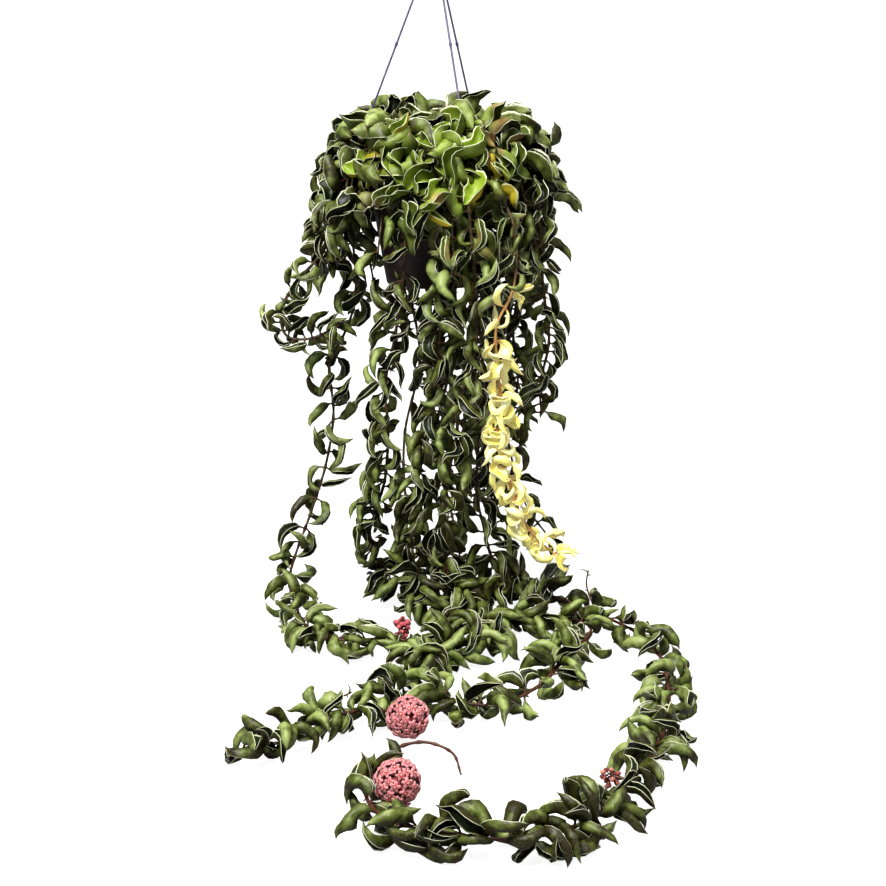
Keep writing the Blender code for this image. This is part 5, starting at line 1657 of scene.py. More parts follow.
    def leaf_at(self, stem: Stem, place: float, turn: float, length: float, habit: Habit,
                dice: random.Random, ease: float) -> LeafForm:
        """A leaf drawn at a place on a stem: it leaves sideways, then curls on along the stem and down.

        Args:
            stem: The stem that carries it.
            place: How far along the stem it stands.
            turn: The angle round the stem at which it leaves.
            length: Its length along the curl.
            habit: The ranges that its form is drawn from.
            dice: Its own seeded draws.
            ease: How freely it may turn, from 0 to 1.

        Returns:
            The leaf.
        """
        root, tangent, side, other = stem.at(place)
        turn += dice.gauss(0.0, TURN_SPREAD + 0.5 * ease)
        radial = side * math.cos(turn) + other * math.sin(turn)
        around = np.cross(tangent, radial)
        ahead = unit(radial + tangent * dice.uniform(*habit.lean))
        bend = tangent * dice.uniform(*habit.onward) + DOWN * dice.uniform(*habit.droop)
        bend = bend + around * dice.choice((-1.0, 1.0)) * dice.uniform(habit.aside, 1.0 + ease)
        if dice.random() < habit.backward_chance:
            bend = bend - 2.0 * tangent * (bend @ tangent)
        bend = bend - ahead * (bend @ ahead)
        return LeafForm(root, ahead, unit(bend), length, habit, dice)

    def grow(self, plan: Plan, leaf_round: LeafRound) -> None:
        """Sets one round of leaves along a stem from its tip back, where they have room.

        Args:
            plan: The stem's plan, which takes the leaves.
            leaf_round: The round.
        """
        stem, lengths = plan.stem, plan.lengths
        first = ROOT_DEPTH + FIRST_LEAF
        last = stem.length * (1.0 - plan.bare) - TIP_LEAF
        pairs = int((last - first) / PAIR_SPACING) + 1
        middle = np.array([0.0, 0.0, RIM_HEIGHT - MEETING_DROP - MIDDLE_DROP])
        for index in range(2 * pairs):
            pair, twin = divmod(index, 2)
            place = last - pair * PAIR_SPACING + (twin - 0.5) * PAIR_STAGGER
            solid = index % (CROWN_EVERY if place < CROWN_STRETCH else VINE_EVERY) == 0
            place -= leaf_round.offset * PAIR_SPACING
            if leaf_round.solids not in (None, solid) or not first - PAIR_STAGGER <= place < leaf_round.up_to:
                continue
            spot = stem.at(place)[0]
            if np.any(spot < leaf_round.inside[0]) or np.any(spot > leaf_round.inside[1]):
                continue
            share = place / stem.length
            for attempt in range(leaf_round.tries):
                dice = random.Random(f"{stem.name} {index} {leaf_round.name}{attempt}")
                ease = attempt / LEAF_TRIES
                length = (lengths[0] + (lengths[1] - lengths[0]) * share) * dice.uniform(*LENGTH_SPREAD)
                length *= 1.0 if attempt < LEAF_TRIES // 2 else SHRINKS_FROM - 0.5 * ease
                turn = math.radians(PAIR_TURN * pair + 180.0 * twin)
                if leaf_round.outward or leaf_round.towards:
                    root, _, side, other = stem.at(place)
                    aim = root - middle if leaf_round.outward else np.array(leaf_round.towards)
                    spread = OUTWARD_SPREAD if leaf_round.outward else AIM_SPREAD
                    turn = math.atan2(aim @ other, aim @ side) + dice.gauss(0.0, spread)
                length *= leaf_round.stretch
                leaf = self.leaf_at(stem, place, turn, length, leaf_round.habit, dice, ease)
                plain = leaf.coarse(RINGS)
                if self.outside(stem.name, plain, leaf_round) or crosses_itself(plain, self.faces):
                    continue
                points = leaf.coarse(RINGS, leaf_round.guard)
                dip = 0.0 if leaf_round.solids else FLOOR_DIP
                if self.thicket.has_room(stem.name, points, self.faces, self.faces[4:], dip):
                    self.thicket.add(stem.name, points, self.faces, self.faces[4:])
                    leaf.root = leaf.root + stem.on_curve(place) - stem.at(place)[0]
                    look = FLOOR_LOOK if spot[2] < FLOOR_LEAVES else leaf_round.look
                    leaf.dress(CROWN_LOOK if place < CROWN_STRETCH else look, dice)
                    plan.leaves.append(leaf)
                    plan.nodes.append(place)
                    break

    def run(self) -> None:
        """Grows all leaves, round by round."""
        for leaf_round in ROUNDS:
            for plan in self.plans:
                if not leaf_round.only or plan.stem.name in leaf_round.only:
                    self.grow(plan, leaf_round)
            count = sum(len(plan.leaves) for plan in self.plans)
            LOG.info("leaves after the round '%s': %d", leaf_round.name or "solids", count)


@dataclass
class LeafyStem:
    """A stem with its twigs and leaves as one piece.

    The shade of a leaf eases from one end of near, low, behind and within to the other: how near the viewer
    it is, how low, how far back and how far in. The darkening near the viewer and low among the hanging vines
    is painted shade. Heart and heart_size give where the fresh leaves are, and yellow_above the
    draws from which on a leaf there or elsewhere is yellow.
    """

    plan: Plan
    leaf_finish: Material
    bark_finish: Material
    slot: str = "leaf"
    other_leaf: Material | None = None
    turns_at: float = 9.0
    sides: int = 6
    ring_step: float = 0.0038
    thin: float = 0.0010
    thick: float = 0.00145
    thins_over: float = 0.14
    swell: float = 0.0006
    swell_length: float = 0.0028
    rough: float = 0.06
    twig_step: float = 0.003
    bit_radii: tuple[float, float] = (0.0009, 0.0004)
    near: tuple[float, float] = (0.40, 0.56)
    low: tuple[float, float] = (0.56, 0.67)
    behind: tuple[float, float] = (-0.17, -0.10)
    within: tuple[float, float] = (-0.10, -0.03)
    heart: tuple = (0.015, -0.11, -0.255)
    heart_size: tuple = (0.075, 0.07, 0.08)
    heart_place: float = 0.4
    heart_reach: float = 1.3
    yellow_reach: float = 0.017
    yellow_above: tuple[float, float] = (0.97, 0.998)
    yellowest: float = 0.9
    freshest: float = 0.5
    scatter: float = 613.0
    darkest: float = 0.05
    liveliest: float = 0.7
    near_painted_shade: float = 0.4
    low_painted_shade: float = 0.22

    def bark(self) -> Array:
        """The stem's skin: a tube that swells at each leaf and thins towards its end.

        Returns:
            The rings of the tube.
        """
        stem = self.plan.stem
        places = np.arange(0.0, stem.length, self.ring_step)
        line = np.stack([np.interp(places, stem.reach, stem.line[:, k]) for k in range(3)], axis=1)
        radius = self.thin + (self.thick - self.thin) * eased(stem.length - places, -0.01, self.thins_over)
        bare = np.arange(stem.length * (1.0 - self.plan.bare), stem.length, 0.8 * PAIR_SPACING)
        nodes = np.concatenate([self.plan.nodes, bare, [0.0]])
        away = np.abs(places[:, None] - nodes[None, :]).min(axis=1)
        radius = radius + self.swell * np.exp(-(away / self.swell_length) ** 2)
        rng = np.random.default_rng(len(places))
        radius = radius * (1.0 + self.rough * rng.standard_normal(len(places)))
        return tube(line, radius, self.sides)

    @staticmethod
    def bits(line: Array) -> list[Array]:
        """Little forks near the end of a bare twig.

        Args:
            line: The twig's points.

        Returns:
            The points of each fork.
        """
        end = unit(line[-1] - line[-3])
        side = unit(np.cross(end, FORK_SIDE))
        found = []
        for row, sign, length in ((-2, 1.0, LONG_FORK), (-3, -1.0, FORK), (len(line) // 2, 1.0, FORK)):
            start = line[row]
            found.append(smooth_line([start, start + (side * sign * 0.8 + end * 0.5) * length * 0.5,
                                      start + (side * sign * 1.0 + end * 0.2) * length], FORK_STEP))
        return found

    def shade(self, leaf: LeafForm) -> float:
        """How light a leaf is: its own draw, with painted shade that darkens it near the viewer and low among
        the hanging vines.

        Args:
            leaf: The leaf.

        Returns:
            Its shade, about 0 to 0.75.
        """
        near = float(eased(-leaf.root[1], *self.near))
        low = float(eased(-leaf.root[2], *self.low) * eased(leaf.root[1], *self.behind))
        low *= float(eased(leaf.root[0], *self.within))
        # Painted shade: darker near the viewer and low among the hanging vines.
        return self.darkest + self.liveliest * leaf.lively - self.near_painted_shade * near - self.low_painted_shade * low

    def warmth(self, leaf: LeafForm) -> float:
        """How fresh or yellow a leaf is.

        Args:
            leaf: The leaf.

        Returns:
            0 for a plain leaf, towards 0.5 for a fresh one in the front of the crown, 0.9 for a yellow one.
        """
        middle = leaf.root + leaf.length * self.heart_place * leaf.ahead
        away = np.linalg.norm((middle - np.array(self.heart)) / np.array(self.heart_size))
        fresh = self.freshest * math.exp(-away ** 2) * (0.4 + 0.9 * leaf.lively)
        spread = (leaf.lively * self.scatter) % 1.0
        yellow = spread > (self.yellow_above[0] if away < self.heart_reach else self.yellow_above[1])
        yellow = yellow or np.linalg.norm(YELLOWED - middle, axis=1).min() < self.yellow_reach
        return self.yellowest if yellow else float(fresh)

    def build(self) -> Object:
        """Makes the piece and gives it its place in the frame.

        Returns:
            The piece.
        """
        stock = MeshStock()
        stock.add_rings(self.bark(), 1)
        for twig in TWIGS.get(self.plan.stem.name, []):
            line = smooth_line(lowered(twig), self.twig_step)
            radii = np.linspace(TWIG_RADIUS, 0.6 * TWIG_RADIUS, len(line))
            stock.add_rings(tube(line, radii, self.sides), 1)
            for bit in self.bits(line):
                stock.add_rings(tube(bit, np.linspace(*self.bit_radii, len(bit)), self.sides), 1)
        for leaf in self.plan.leaves:
            skin, paint = leaf_skin(leaf, self.shade(leaf))
            stock.add_rings(skin, 2 if leaf.root[2] > self.turns_at else 0, paint, self.warmth(leaf))
        finishes = [self.leaf_finish, self.bark_finish] + ([self.other_leaf] if self.other_leaf else [])
        piece = stock.make(self.plan.stem.name + "_fine", finishes)
        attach(piece, "root")
        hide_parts(self.plan.stem.name)
        return piece


def cut_holes(item: Object, cutters: list[Array]) -> None:
    """Cuts holes through a piece.

    Args:
        item: The piece.
        cutters: The rings of each cutting body.
    """
    stock = MeshStock()
    for rings in cutters:
        stock.add_rings(rings)
    tool = stock.make("cutter", [])
    step = item.modifiers.new("holes", "BOOLEAN")
    step.operation = "DIFFERENCE"
    step.solver = "EXACT"
    step.object = tool
    view = bpy.context.evaluated_depsgraph_get()
    mesh = bpy.data.meshes.new_from_object(item.evaluated_get(view))
    item.modifiers.remove(step)
    old = item.data
    item.data = mesh
    bpy.data.meshes.remove(old)
    old_tool = tool.data
    bpy.data.objects.remove(tool, do_unlink=True)
    bpy.data.meshes.remove(old_tool)


def drop(radius: float, low: float, high: float, steps: int, sides: int, place: Array,
         direction: Array) -> Array:
    """Rings of a drop shape: radius * sin(pi s)^0.8 round a straight line, s running from low to high.

    Args:
        radius: The widest radius.
        low: Where the line starts along the direction.
        high: Where it ends.
        steps: How many rings.
        sides: How many points go round.
        place: The origin of the line.
        direction: The line's direction.

    Returns:
        The rings.
    """
    share = np.linspace(0.02, 0.98, steps)
    line = place + np.outer(low + (high - low) * share, direction)
    return tube(line, radius * np.sin(math.pi * share) ** 0.8, sides)


@dataclass
class HangingPot:
    """The thin plastic pot with its lipped rim, and the potting mix in it."""

    plastic: Material
    mix: Material
    steps: int = 96
    lip_wall: float = 0.0015
    rim_taper: float = 0.0004
    drain_holes: int = 5
    drain_radius: float = 0.004
    drain_circle: float = 0.034
    drain_first: float = 18.0
    strand_hole: float = 0.0018
    rounding: float = 0.0006
    top_rows: int = 29
    lump: float = 0.0012
    highest_lump: float = 0.0015
    bark_bits: int = 70
    bits_reach: float = 0.068
    bit_size: tuple[float, float] = (0.0012, 0.0028)

    def wall(self) -> Array:
        """The pot's closed profile of radius and height: up the outside, over the rim and down inside.

        Returns:
            The profile, from the middle of the underside to the middle of the floor inside.
        """
        low = RIM_HEIGHT - POT_HEIGHT
        soft = self.rounding
        under = RIM_HEIGHT - LIP_DEPTH
        lip = RIM_RADIUS - self.lip_wall
        heights = np.linspace(low + 4 * soft, RIM_HEIGHT - POT_WALL - 0.0005, 14)
        slope = (POT_TOP_RADIUS - POT_BASE_RADIUS) / (RIM_HEIGHT - POT_WALL - low)
        waves = [0.0004 * math.sin(9.0 * math.pi * (z - low) / POT_HEIGHT) ** 8 for z in heights]
        outside = [(POT_BASE_RADIUS + slope * (z - low) + wave, z) for z, wave in zip(heights, waves)]
        profile = [(0.0001, low + 0.002), (0.030, low + 0.002), (0.034, low),
                   (POT_BASE_RADIUS - 2 * soft, low), (POT_BASE_RADIUS, low + 2 * soft), *outside,
                   (POT_TOP_RADIUS + soft, RIM_HEIGHT - POT_WALL), (lip, RIM_HEIGHT - POT_WALL),
                   (lip, under + soft), (lip + 0.4 * self.lip_wall, under),
                   (RIM_RADIUS - self.rim_taper, under + soft),
                   (RIM_RADIUS, RIM_HEIGHT - 2 * soft), (RIM_RADIUS - soft, RIM_HEIGHT),
                   (POT_TOP_RADIUS - POT_WALL + soft, RIM_HEIGHT),
                   (POT_TOP_RADIUS - POT_WALL, RIM_HEIGHT - soft),
                   (POT_BASE_RADIUS - POT_WALL, low + POT_WALL + 2 * soft),
                   (POT_BASE_RADIUS - POT_WALL - 2 * soft, low + POT_WALL), (0.036, low + POT_WALL),
                   (0.031, low + 0.002 + POT_WALL), (0.0001, low + 0.002 + POT_WALL)]
        return np.array(profile)

    def holes(self) -> list[Array]:
        """Round cutters for the drain holes and the strand holes.

        Returns:
            The rings of each cutter.
        """
        low = RIM_HEIGHT - POT_HEIGHT
        spots = [(polar(self.drain_circle, 360.0 / self.drain_holes * number + self.drain_first, low),
                  self.drain_radius) for number in range(self.drain_holes)]
        spots += [(polar(STRAND_CIRCLE, azimuth, RIM_HEIGHT - POT_WALL), self.strand_hole)
                  for azimuth in STRAND_AZIMUTHS.values()]
        return [turned([(radius, -0.006), (radius, 0.006)], 20, lowered(spot)) for spot, radius in spots]

    def build(self) -> Object:
        """Makes the pot and places it in the frame.

        Returns:
            The piece.
        """
        stock = MeshStock()
        stock.add_rings(turned(self.wall(), self.steps, (0.0, 0.0, -MEETING_DROP)))
        piece = stock.make("hanging_pot_fine", [self.plastic])
        cut_holes(piece, self.holes())
        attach(piece, "root")
        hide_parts("hanging_pot")
        return piece

    def build_mix(self) -> Object:
        """Makes the potting mix: a plug with a lumpy top and loose bits of bark on it.

        Returns:
            The piece.
        """
        low = RIM_HEIGHT - POT_HEIGHT + 0.002 + POT_WALL + FIT
        slope = (POT_TOP_RADIUS - POT_BASE_RADIUS) / (POT_HEIGHT - POT_WALL)
        base = POT_BASE_RADIUS - POT_WALL - 4 * FIT
        top = base + slope * (SOIL_TOP - low)
        rng = np.random.default_rng(41)
        rows = self.top_rows
        radii = np.concatenate([[0.0005, base * 0.6, base], np.linspace(base, top, 6)[1:],
                                np.linspace(top, 0.001, rows + 1)[1:]])
        heights = np.concatenate([[low] * 3, np.linspace(low, SOIL_TOP, 6)[1:], np.full(rows, SOIL_TOP)])
        rings = turned(np.stack([radii, heights], axis=1), self.steps, (0.0, 0.0, -MEETING_DROP))
        lumps = rng.standard_normal((rows, self.steps)) * self.lump
        fade = eased(np.arange(rows), 27.5, 20.0)[:, None]
        rings[-rows:, :, 2] += np.minimum(lumps * fade, self.highest_lump)
        stock = MeshStock()
        stock.add_rings(rings)
        for _ in range(self.bark_bits):
            spot = polar(self.bits_reach * math.sqrt(rng.random()), rng.uniform(0, 360), SOIL_TOP + 0.001)
            ahead = unit(np.array([rng.normal(), rng.normal(), rng.normal() * 0.25]))
            size = rng.uniform(*self.bit_size)
            stock.add_rings(drop(size, -2 * size, 2 * size, 5, 6, lowered(spot), ahead))
        piece = stock.make("potting_mix_fine", [self.mix])
        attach(piece, "root")
        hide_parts("potting_soil")
        return piece


@dataclass
class Hanger:
    """The moulded hook with its hub, and the three thin strands to the rim."""

    hook_plastic: Material
    strand_plastic: Material
    hub_top: float = 0.007
    hub_bottom: float = -0.011
    hub_top_radius: float = 0.0035
    hub_bottom_radius: float = 0.0068
    wire: float = 0.0016
    bend: float = 0.0126
    arc_from: float = 118.0
    arc_to: float = -142.0
    hub_sides: int = 48
    bar_sides: int = 16
    strand_radius: float = 0.0011
    strand_sides: int = 12
    corner: float = 0.004
    bead_radius: float = 0.0021
    bead_sink: float = 0.0006
    nib_place: float = 0.5
    nib_radius: float = 0.0018
    nib_half: float = 0.0028
    nib_swell: float = 0.0008
    nib_swell_length: float = 0.0016

    def build_hook(self) -> Object:
        """Makes the hook: a round bar bent over the hang point, rising from a turned hub.

        Returns:
            The piece.
        """
        centre = self.wire - self.bend
        angles = np.radians(np.linspace(self.arc_from, self.arc_to, 40))
        arc = np.stack([self.bend * np.sin(angles), 0 * angles, centre + self.bend * np.cos(angles)], axis=1)
        foot = np.array([[0.0, 0.0, self.hub_top - MEETING_DROP - 0.004],
                         [0.0, 0.0, self.hub_top - MEETING_DROP + 0.001]])
        line = np.vstack([smooth_line(foot, 0.001), arc[::-1]])
        ends = np.minimum(np.arange(len(line)), np.arange(len(line))[::-1]) + 0.5
        radius = self.wire * np.clip(np.sqrt(ends / 2.0), 0.5, 1.0)
        high, low = self.hub_top, self.hub_bottom
        profile = [(0.0002, low + 0.0008), (self.hub_bottom_radius - 0.0014, low + 0.0008),
                   (self.hub_bottom_radius - 0.0010, low), (self.hub_bottom_radius - 0.0004, low),
                   (self.hub_bottom_radius, low + 0.0006), (self.hub_bottom_radius - 0.0002, low + 0.003),
                   (self.hub_bottom_radius - 0.0013, 0.0), (self.hub_top_radius + 0.0008, 0.003),
                   (self.hub_top_radius, high - 0.0012), (self.hub_top_radius - 0.0006, high - 0.0003),
                   (self.wire, high), (0.0002, high)]
        stock = MeshStock()
        stock.add_rings(turned(profile, self.hub_sides, (0.0, 0.0, -MEETING_DROP)))
        stock.add_rings(tube(line, radius, self.bar_sides))
        piece = stock.make("hanger_hook_fine", [self.hook_plastic])
        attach(piece, "root")
        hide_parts("hanger_hook")
        return piece

    def build_strands(self) -> list[Object]:
        """Makes the three strands, each with a nib halfway and a stop bead under the rim.

        Returns:
            The pieces.
        """
        pieces = []
        for name, azimuth in STRAND_AZIMUTHS.items():
            line = strand_line(azimuth, STRAND_START_RADIUS)
            first, corner, last = line
            run = unit(corner - first)
            steps = np.linspace(0.0, 1.0, 80)[:, None]
            turn = np.linspace(0.0, 1.0, 9)[:, None]
            before, after = corner - run * self.corner, corner + DOWN * self.corner
            corner_line = ((1 - turn) ** 2 * before + 2 * turn * (1 - turn) * corner + turn ** 2 * after)
            path = np.vstack([first + (before - first) * steps, corner_line[1:],
                              after + (last - after) * np.linspace(0.0, 1.0, 12)[1:, None]])
            reach = np.concatenate([[0.0], np.cumsum(np.linalg.norm(np.diff(path, axis=0), axis=1))])
            nib = np.linalg.norm(corner - first) * self.nib_place
            radius = np.full(len(path), self.strand_radius)
            radius += self.nib_swell * np.exp(-((reach - nib) / self.nib_swell_length) ** 2)
            stock = MeshStock()
            stock.add_rings(tube(path, radius, self.strand_sides))
            bead = last + np.array([0.0, 0.0, self.bead_sink])
            stock.add_rings(drop(self.bead_radius, -self.bead_radius, self.bead_radius, 9, 14, bead, DOWN))
            nib_at = first + run * nib
            stock.add_rings(drop(self.nib_radius, -self.nib_half, self.nib_half, 9, 12, nib_at, run))
            piece = stock.make(f"hanger_strand_{name}_fine", [self.strand_plastic])
            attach(piece, "root")
            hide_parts(f"hanger_strand_{name}")
            pieces.append(piece)
        return pieces


def sphere_directions(count: int) -> Array:
    """Directions spread evenly over a ball along a golden spiral.

    Args:
        count: How many.

    Returns:
        The directions, from the top down.
    """
    steps = np.arange(count) + 0.5
    heights = 1.0 - 2.0 * steps / count
    angles = steps * math.pi * (3.0 - math.sqrt(5.0))
    flat = np.sqrt(1.0 - heights ** 2)
    return np.stack([flat * np.cos(angles), flat * np.sin(angles), heights], axis=1)


@dataclass(frozen=True)
class Cluster:
    """How a small cluster grows: how many buds, how far out and how high they start, and how wide."""

    count: int
    reach: tuple[float, float]
    start: tuple[float, float]
    width: float


CLUSTERS = {Bloom.BUDS: Cluster(36, (0.66, 0.88), (-0.0075, 0.0110), 0.54),
            Bloom.SPENT: Cluster(18, (0.70, 1.05), (-0.004, 0.004), 0.42)}


@dataclass
class FlowerHead:
    """A round head of star florets on its stalk, or a small cluster of buds."""

    name: str
    stem: Stem
    kind: Bloom
    petal: Material
    stalk: Material
    florets: int = 66
    around: int = 20
    core_share: float = 0.93
    core_rows: int = 12
    sunk: float = 0.0016
    petals: tuple[float, float] = (0.47, 0.54)
    notch: float = 0.46
    point: float = 1.2
    channel: float = 0.0004
    astray: float = 0.05
    uneven: float = 0.0009
    most_spin: float = 1.2
    deepest: float = 0.62
    bud_rows: int = 8
    bud_sides: int = 9
    bud_stalk: float = 0.00055
    bud_astray: float = 0.22
    bud_flatness: tuple[float, float, float] = (1.0, 1.0, 0.6)
    bud_droop: tuple[float, float, float] = (0.0, 0.0, -0.35)
    shares: Sequence[float] = (0.03, 0.10, 0.15, 0.28, 0.55, 0.80, 1.0, 0.84, 0.45, 0.12)
    lifts: Sequence[float] = (0.0009, 0.0010, 0.0007, 0.0001, 0.0002, -0.0004, -0.0013, -0.0022, -0.0022,
                              -0.0070)

    def floret(self, direction: Array, spin: float, reach: float, size: float) -> Array:
        """A five-petalled star as a closed skin of rings, from its crown's middle out and back to its foot.

        The edge at the angle a is size * (0.46 + 0.54 |cos(2.5 a)|^1.2). Each ring takes its share of that
        edge and its lift, the petals are channelled along their middles, and the crown is a round knob.

        Args:
            direction: Where it looks.
            spin: How far it is turned.
            reach: How far from the head's middle it stands.
            size: The length of its petals.

        Returns:
            The rings, about the head's middle.
        """
        side = unit(np.cross(direction, ODD_DIRECTION))
        other = np.cross(direction, side)
        angles = np.linspace(0.0, 2 * math.pi, self.around, endpoint=False)
        share = np.array(self.shares)[:, None]
        star = self.notch + (1.0 - self.notch) * np.abs(np.cos(2.5 * angles)) ** self.point
        starry = eased(share, 0.2, 0.5)
        radius = size * share * (star[None, :] * starry + 1.0 - starry)
        ridge = self.channel * np.cos(5.0 * angles)[None, :] * np.exp(-((share - 0.6) / 0.3) ** 2)
        heights = reach + np.array(self.lifts)[:, None] - ridge
        flat = side * np.cos(angles + spin)[:, None] + other * np.sin(angles + spin)[:, None]
        return direction * heights[:, :, None] + flat[None, :] * radius[:, :, None]

    def floret_paint(self, shade: float) -> Array:
        """The painted numbers of a floret.

        Args:
            shade: How deep its colour is.

        Returns:
            For each point the share from the middle out and the shade, which is full at the foot.
        """
        paint = np.zeros((len(self.shares), self.around, 4))
        paint[:-3, :, 0] = np.array(self.shares)[:-3, None]
        paint[:-3, :, 1] = shade
        paint[-3:, :, 1] = 1.0
        return paint

    def add_florets(self, stock: MeshStock, centre: Array, dice: random.Random) -> None:
        """Adds the core of an open head and the florets all round it.

        Args:
            stock: Takes the parts.
            centre: The head's middle.
            dice: The head's own seeded draws.
        """
        _, _, core, reach, size = BLOOMS[self.name]
        ball = core * self.core_share
        paint = np.zeros((self.core_rows, self.around, 4))
        paint[:, :, 0], paint[:, :, 1] = 0.5, 1.0
        stock.add_rings(drop(ball, -ball, ball, self.core_rows, self.around, centre, UP), 0, paint)
        for direction in sphere_directions(self.florets):
            direction = unit(direction + np.array([dice.gauss(0, self.astray) for _ in range(3)]))
            spin = dice.uniform(0.0, self.most_spin)
            far = reach - self.sunk + dice.gauss(0, self.uneven)
            rings = self.floret(direction, spin, far, size * dice.uniform(*self.petals))
            stock.add_rings(centre + rings, 0, self.floret_paint(dice.uniform(0.0, self.deepest)))

    def add_buds(self, stock: MeshStock, centre: Array, dice: random.Random) -> None:
        """Adds the buds or spent florets of a small cluster, each on its own thin stalk.

        Args:
            stock: Takes the parts.
            centre: The cluster's middle.
            dice: The cluster's own seeded draws.
        """
        _, _, _, reach, size = BLOOMS[self.name]
        cluster = CLUSTERS[self.kind]
        for direction in sphere_directions(cluster.count):
            spread = np.array([dice.gauss(0, self.bud_astray) for _ in range(3)])
            direction = unit(direction * self.bud_flatness + spread)
            high = (reach + 0.4 * size) * dice.uniform(*cluster.reach)
            heart = centre + np.array([0.0, 0.0, dice.uniform(*cluster.start)])
            path = heart + np.outer(np.linspace(0.0, high - size, 4), direction)
            stock.add_rings(tube(path, self.bud_stalk, 6), 1)
            rings = drop(size * cluster.width, high - 1.25 * size, high, self.bud_rows, self.bud_sides, heart,
                         unit(direction + self.bud_droop))
            paint = np.zeros((self.bud_rows, self.bud_sides, 4))
            paint[:, :, 0] = np.linspace(0.25, 1.0, self.bud_rows)[:, None]
            paint[:, :, 1] = dice.uniform(0.0, 1.0)
            stock.add_rings(rings, 0, paint)

    def build(self) -> Object:
        """Makes the head on its stalk.

        Returns:
            The piece.
        """
        centre = lowered(BLOOMS[self.name][1])
        dice = random.Random(self.name + " fine")
        stock = MeshStock()
        line = stalk_line(self.stem, centre)
        tip = line[1] + unit(line[1] - line[0]) * STALK_STOP
        path = smooth_line([line[0], 0.5 * (line[0] + tip), tip], 0.002)
        stock.add_rings(tube(path, np.linspace(STALK_RADIUS, 1.2 * STALK_RADIUS, len(path)), 8), 1)
        if self.kind is Bloom.OPEN:
            self.add_florets(stock, centre, dice)
        else:
            self.add_buds(stock, centre, dice)
        piece = stock.make(self.name + "_fine", [self.petal, self.stalk])
        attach(piece, "root")
        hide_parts(self.name)
        return piece


# The lights: where each of them stands, its size and its watts, and the spot that they look at.
LIGHTS = {"key": ((-0.9, -1.9, 2.0), 1.0, 134.0), "fill": ((2.0, -1.6, 0.9), 1.8, 20.0),
          "top": ((0.1, 0.1, 2.3), 1.3, 46.0)}
LIT = (0.03, -0.15, -0.45)


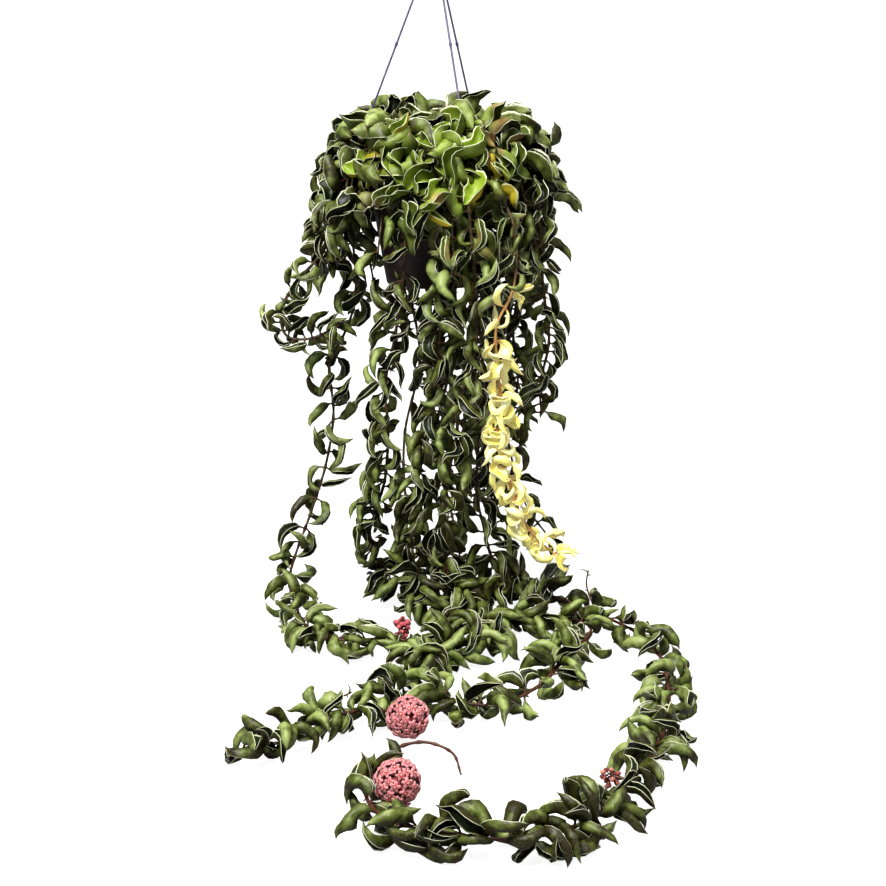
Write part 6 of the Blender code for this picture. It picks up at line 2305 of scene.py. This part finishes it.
@dataclass
class Studio:
    """The pale sweep under and behind the plant, the soft lights and the camera."""

    floor: float = FLOOR - MEETING_DROP
    half_width: float = 4.0
    front: float = -3.4
    back: float = 2.2
    rise: float = 4.5
    sweep: float = 0.9
    camera_place: tuple = CAMERA_PLACE
    camera_pitch: float = 13.4
    lens: float = 1700.0 * 36.0 / 886.0

    def sweep_material(self) -> Material:
        """The plain pale paper of the sweep, which glows a little in the picture alone.

        Returns:
            The material.
        """
        material, desk, shader = new_material("pale_sweep")
        seen = desk.add("ShaderNodeLightPath").outputs["Is Camera Ray"]
        desk.feed(shader, {"Base Color": (0.32, 0.32, 0.32, 1.0), "Roughness": 0.9,
                           "Specular IOR Level": 0.1, "Emission Color": (1.0, 1.0, 1.0, 1.0),
                           "Emission Strength": desk.times(seen, 0.76)})
        return material

    def build_sweep(self) -> Object:
        """Makes the sweep: flat floor, a quarter round and an upright wall, all one surface.

        Returns:
            The sweep.
        """
        turn = np.linspace(0.0, math.pi / 2, 24)
        y = np.concatenate([[self.front], self.back - self.sweep + self.sweep * np.sin(turn), [self.back]])
        z = np.concatenate([[0.0], self.sweep * (1.0 - np.cos(turn)), [self.rise]]) + self.floor
        left = np.stack([np.full(len(y), -self.half_width), y, z], axis=1)
        right = left * np.array([-1.0, 1.0, 1.0])
        count = len(y)
        row = np.arange(count - 1)
        faces = np.stack([row, row + count, row + count + 1, row + 1], axis=1)
        mesh = bpy.data.meshes.new("studio_sweep")
        mesh.from_pydata(np.vstack([left, right]).tolist(), [], faces.tolist())
        mesh.polygons.foreach_set("use_smooth", np.ones(len(faces), dtype=bool))
        mesh.materials.append(self.sweep_material())
        item = new_object("studio_sweep", mesh)
        item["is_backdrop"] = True
        return item

    def add_light(self, name: str, place: Sequence, target: Sequence, size: float, watts: float) -> None:
        """Adds a square soft light.

        Args:
            name: Its name.
            place: Where it stands.
            target: Where it looks.
            size: The length of its side.
            watts: Its power.
        """
        lamp = bpy.data.lights.new(name, "AREA")
        lamp.size = size
        lamp.energy = watts
        item = new_object(name, lamp)
        item.location = place
        look = np.array(target, dtype=float) - np.array(place, dtype=float)
        item.rotation_euler = Vector(look).to_track_quat("-Z", "Y").to_euler()

    def build(self) -> None:
        """Makes the sweep, the lights, the world light and the camera."""
        self.build_sweep()
        for name, (place, size, watts) in LIGHTS.items():
            self.add_light(name, place, LIT, size, watts)
        world = bpy.data.worlds.new("studio_world")
        world.use_nodes = True
        desk, nodes = Desk(world.node_tree), world.node_tree.nodes
        warm = desk.feed(nodes["Background"], {"Color": (1.0, 0.92, 0.78, 1.0), "Strength": 0.07})
        pale = desk.add("ShaderNodeBackground", {"Color": (0.9, 0.9, 0.9, 1.0)})
        seen = desk.add("ShaderNodeLightPath").outputs["Is Camera Ray"]
        choice = desk.add("ShaderNodeMixShader", {0: seen, 1: warm.outputs[0], 2: pale.outputs[0]})
        desk.feed(nodes["World Output"], {"Surface": choice.outputs[0]})
        scene = bpy.context.scene
        scene.world = world
        scene.view_settings.view_transform = "Standard"
        scene.view_settings.look = "Medium High Contrast"
        camera = bpy.data.cameras.new("camera")
        camera.sensor_width = 36.0
        camera.lens = self.lens
        camera.clip_end = 30.0
        item = new_object("camera", camera)
        item.location = self.camera_place
        item.rotation_euler = (math.radians(90.0 - self.camera_pitch), 0.0, 0.0)
        scene.camera = item


def main() -> None:
    """Builds every piece of the plant, its pot and its hanger."""
    logging.basicConfig(level=logging.INFO, format="%(message)s")
    cad_low, cad_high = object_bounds()
    cad = [list(cad_low), list(cad_high)]
    Studio().build()
    growth = Growth(np.array(cad))
    growth.run()
    green, yellow = GREEN.make(), YELLOW.make()
    bark, pale_bark = BARK.make(), PALE_BARK.make()
    for plan in growth.plans:
        if plan.stem.name == YELLOW_VINE:
            stem = LeafyStem(plan, yellow, pale_bark, "yellow_leaf", green, GREEN_ABOVE)
        else:
            stem = LeafyStem(plan, green, bark)
        piece = stem.build()
        LOG.info("%s: %d leaves, %d faces", piece.name, len(plan.leaves), len(piece.data.polygons))
    pot = HangingPot(POT_PLASTIC.make(), SoilFinish().make())
    LOG.info("%s", pot.build().name)
    LOG.info("%s", pot.build_mix().name)
    hanger = Hanger(HOOK_PLASTIC.make(), STRAND_PLASTIC.make())
    LOG.info("%s", hanger.build_hook().name)
    LOG.info("%s", [piece.name for piece in hanger.build_strands()])
    finishes = {Bloom.OPEN: PETAL.make(), Bloom.BUDS: BUD.make(), Bloom.SPENT: SPENT.make()}
    kinds = {"umbel_front": Bloom.OPEN, "umbel_middle": Bloom.OPEN, "bud_cluster": Bloom.BUDS,
             "spent_cluster": Bloom.SPENT}
    for name, kind in kinds.items():
        head = FlowerHead(name, growth.stems[BLOOMS[name][0]], kind, finishes[kind], bark)
        LOG.info("%s", head.build().name)
    bpy.context.view_layer.update()


if __name__ == "__main__":
    main()
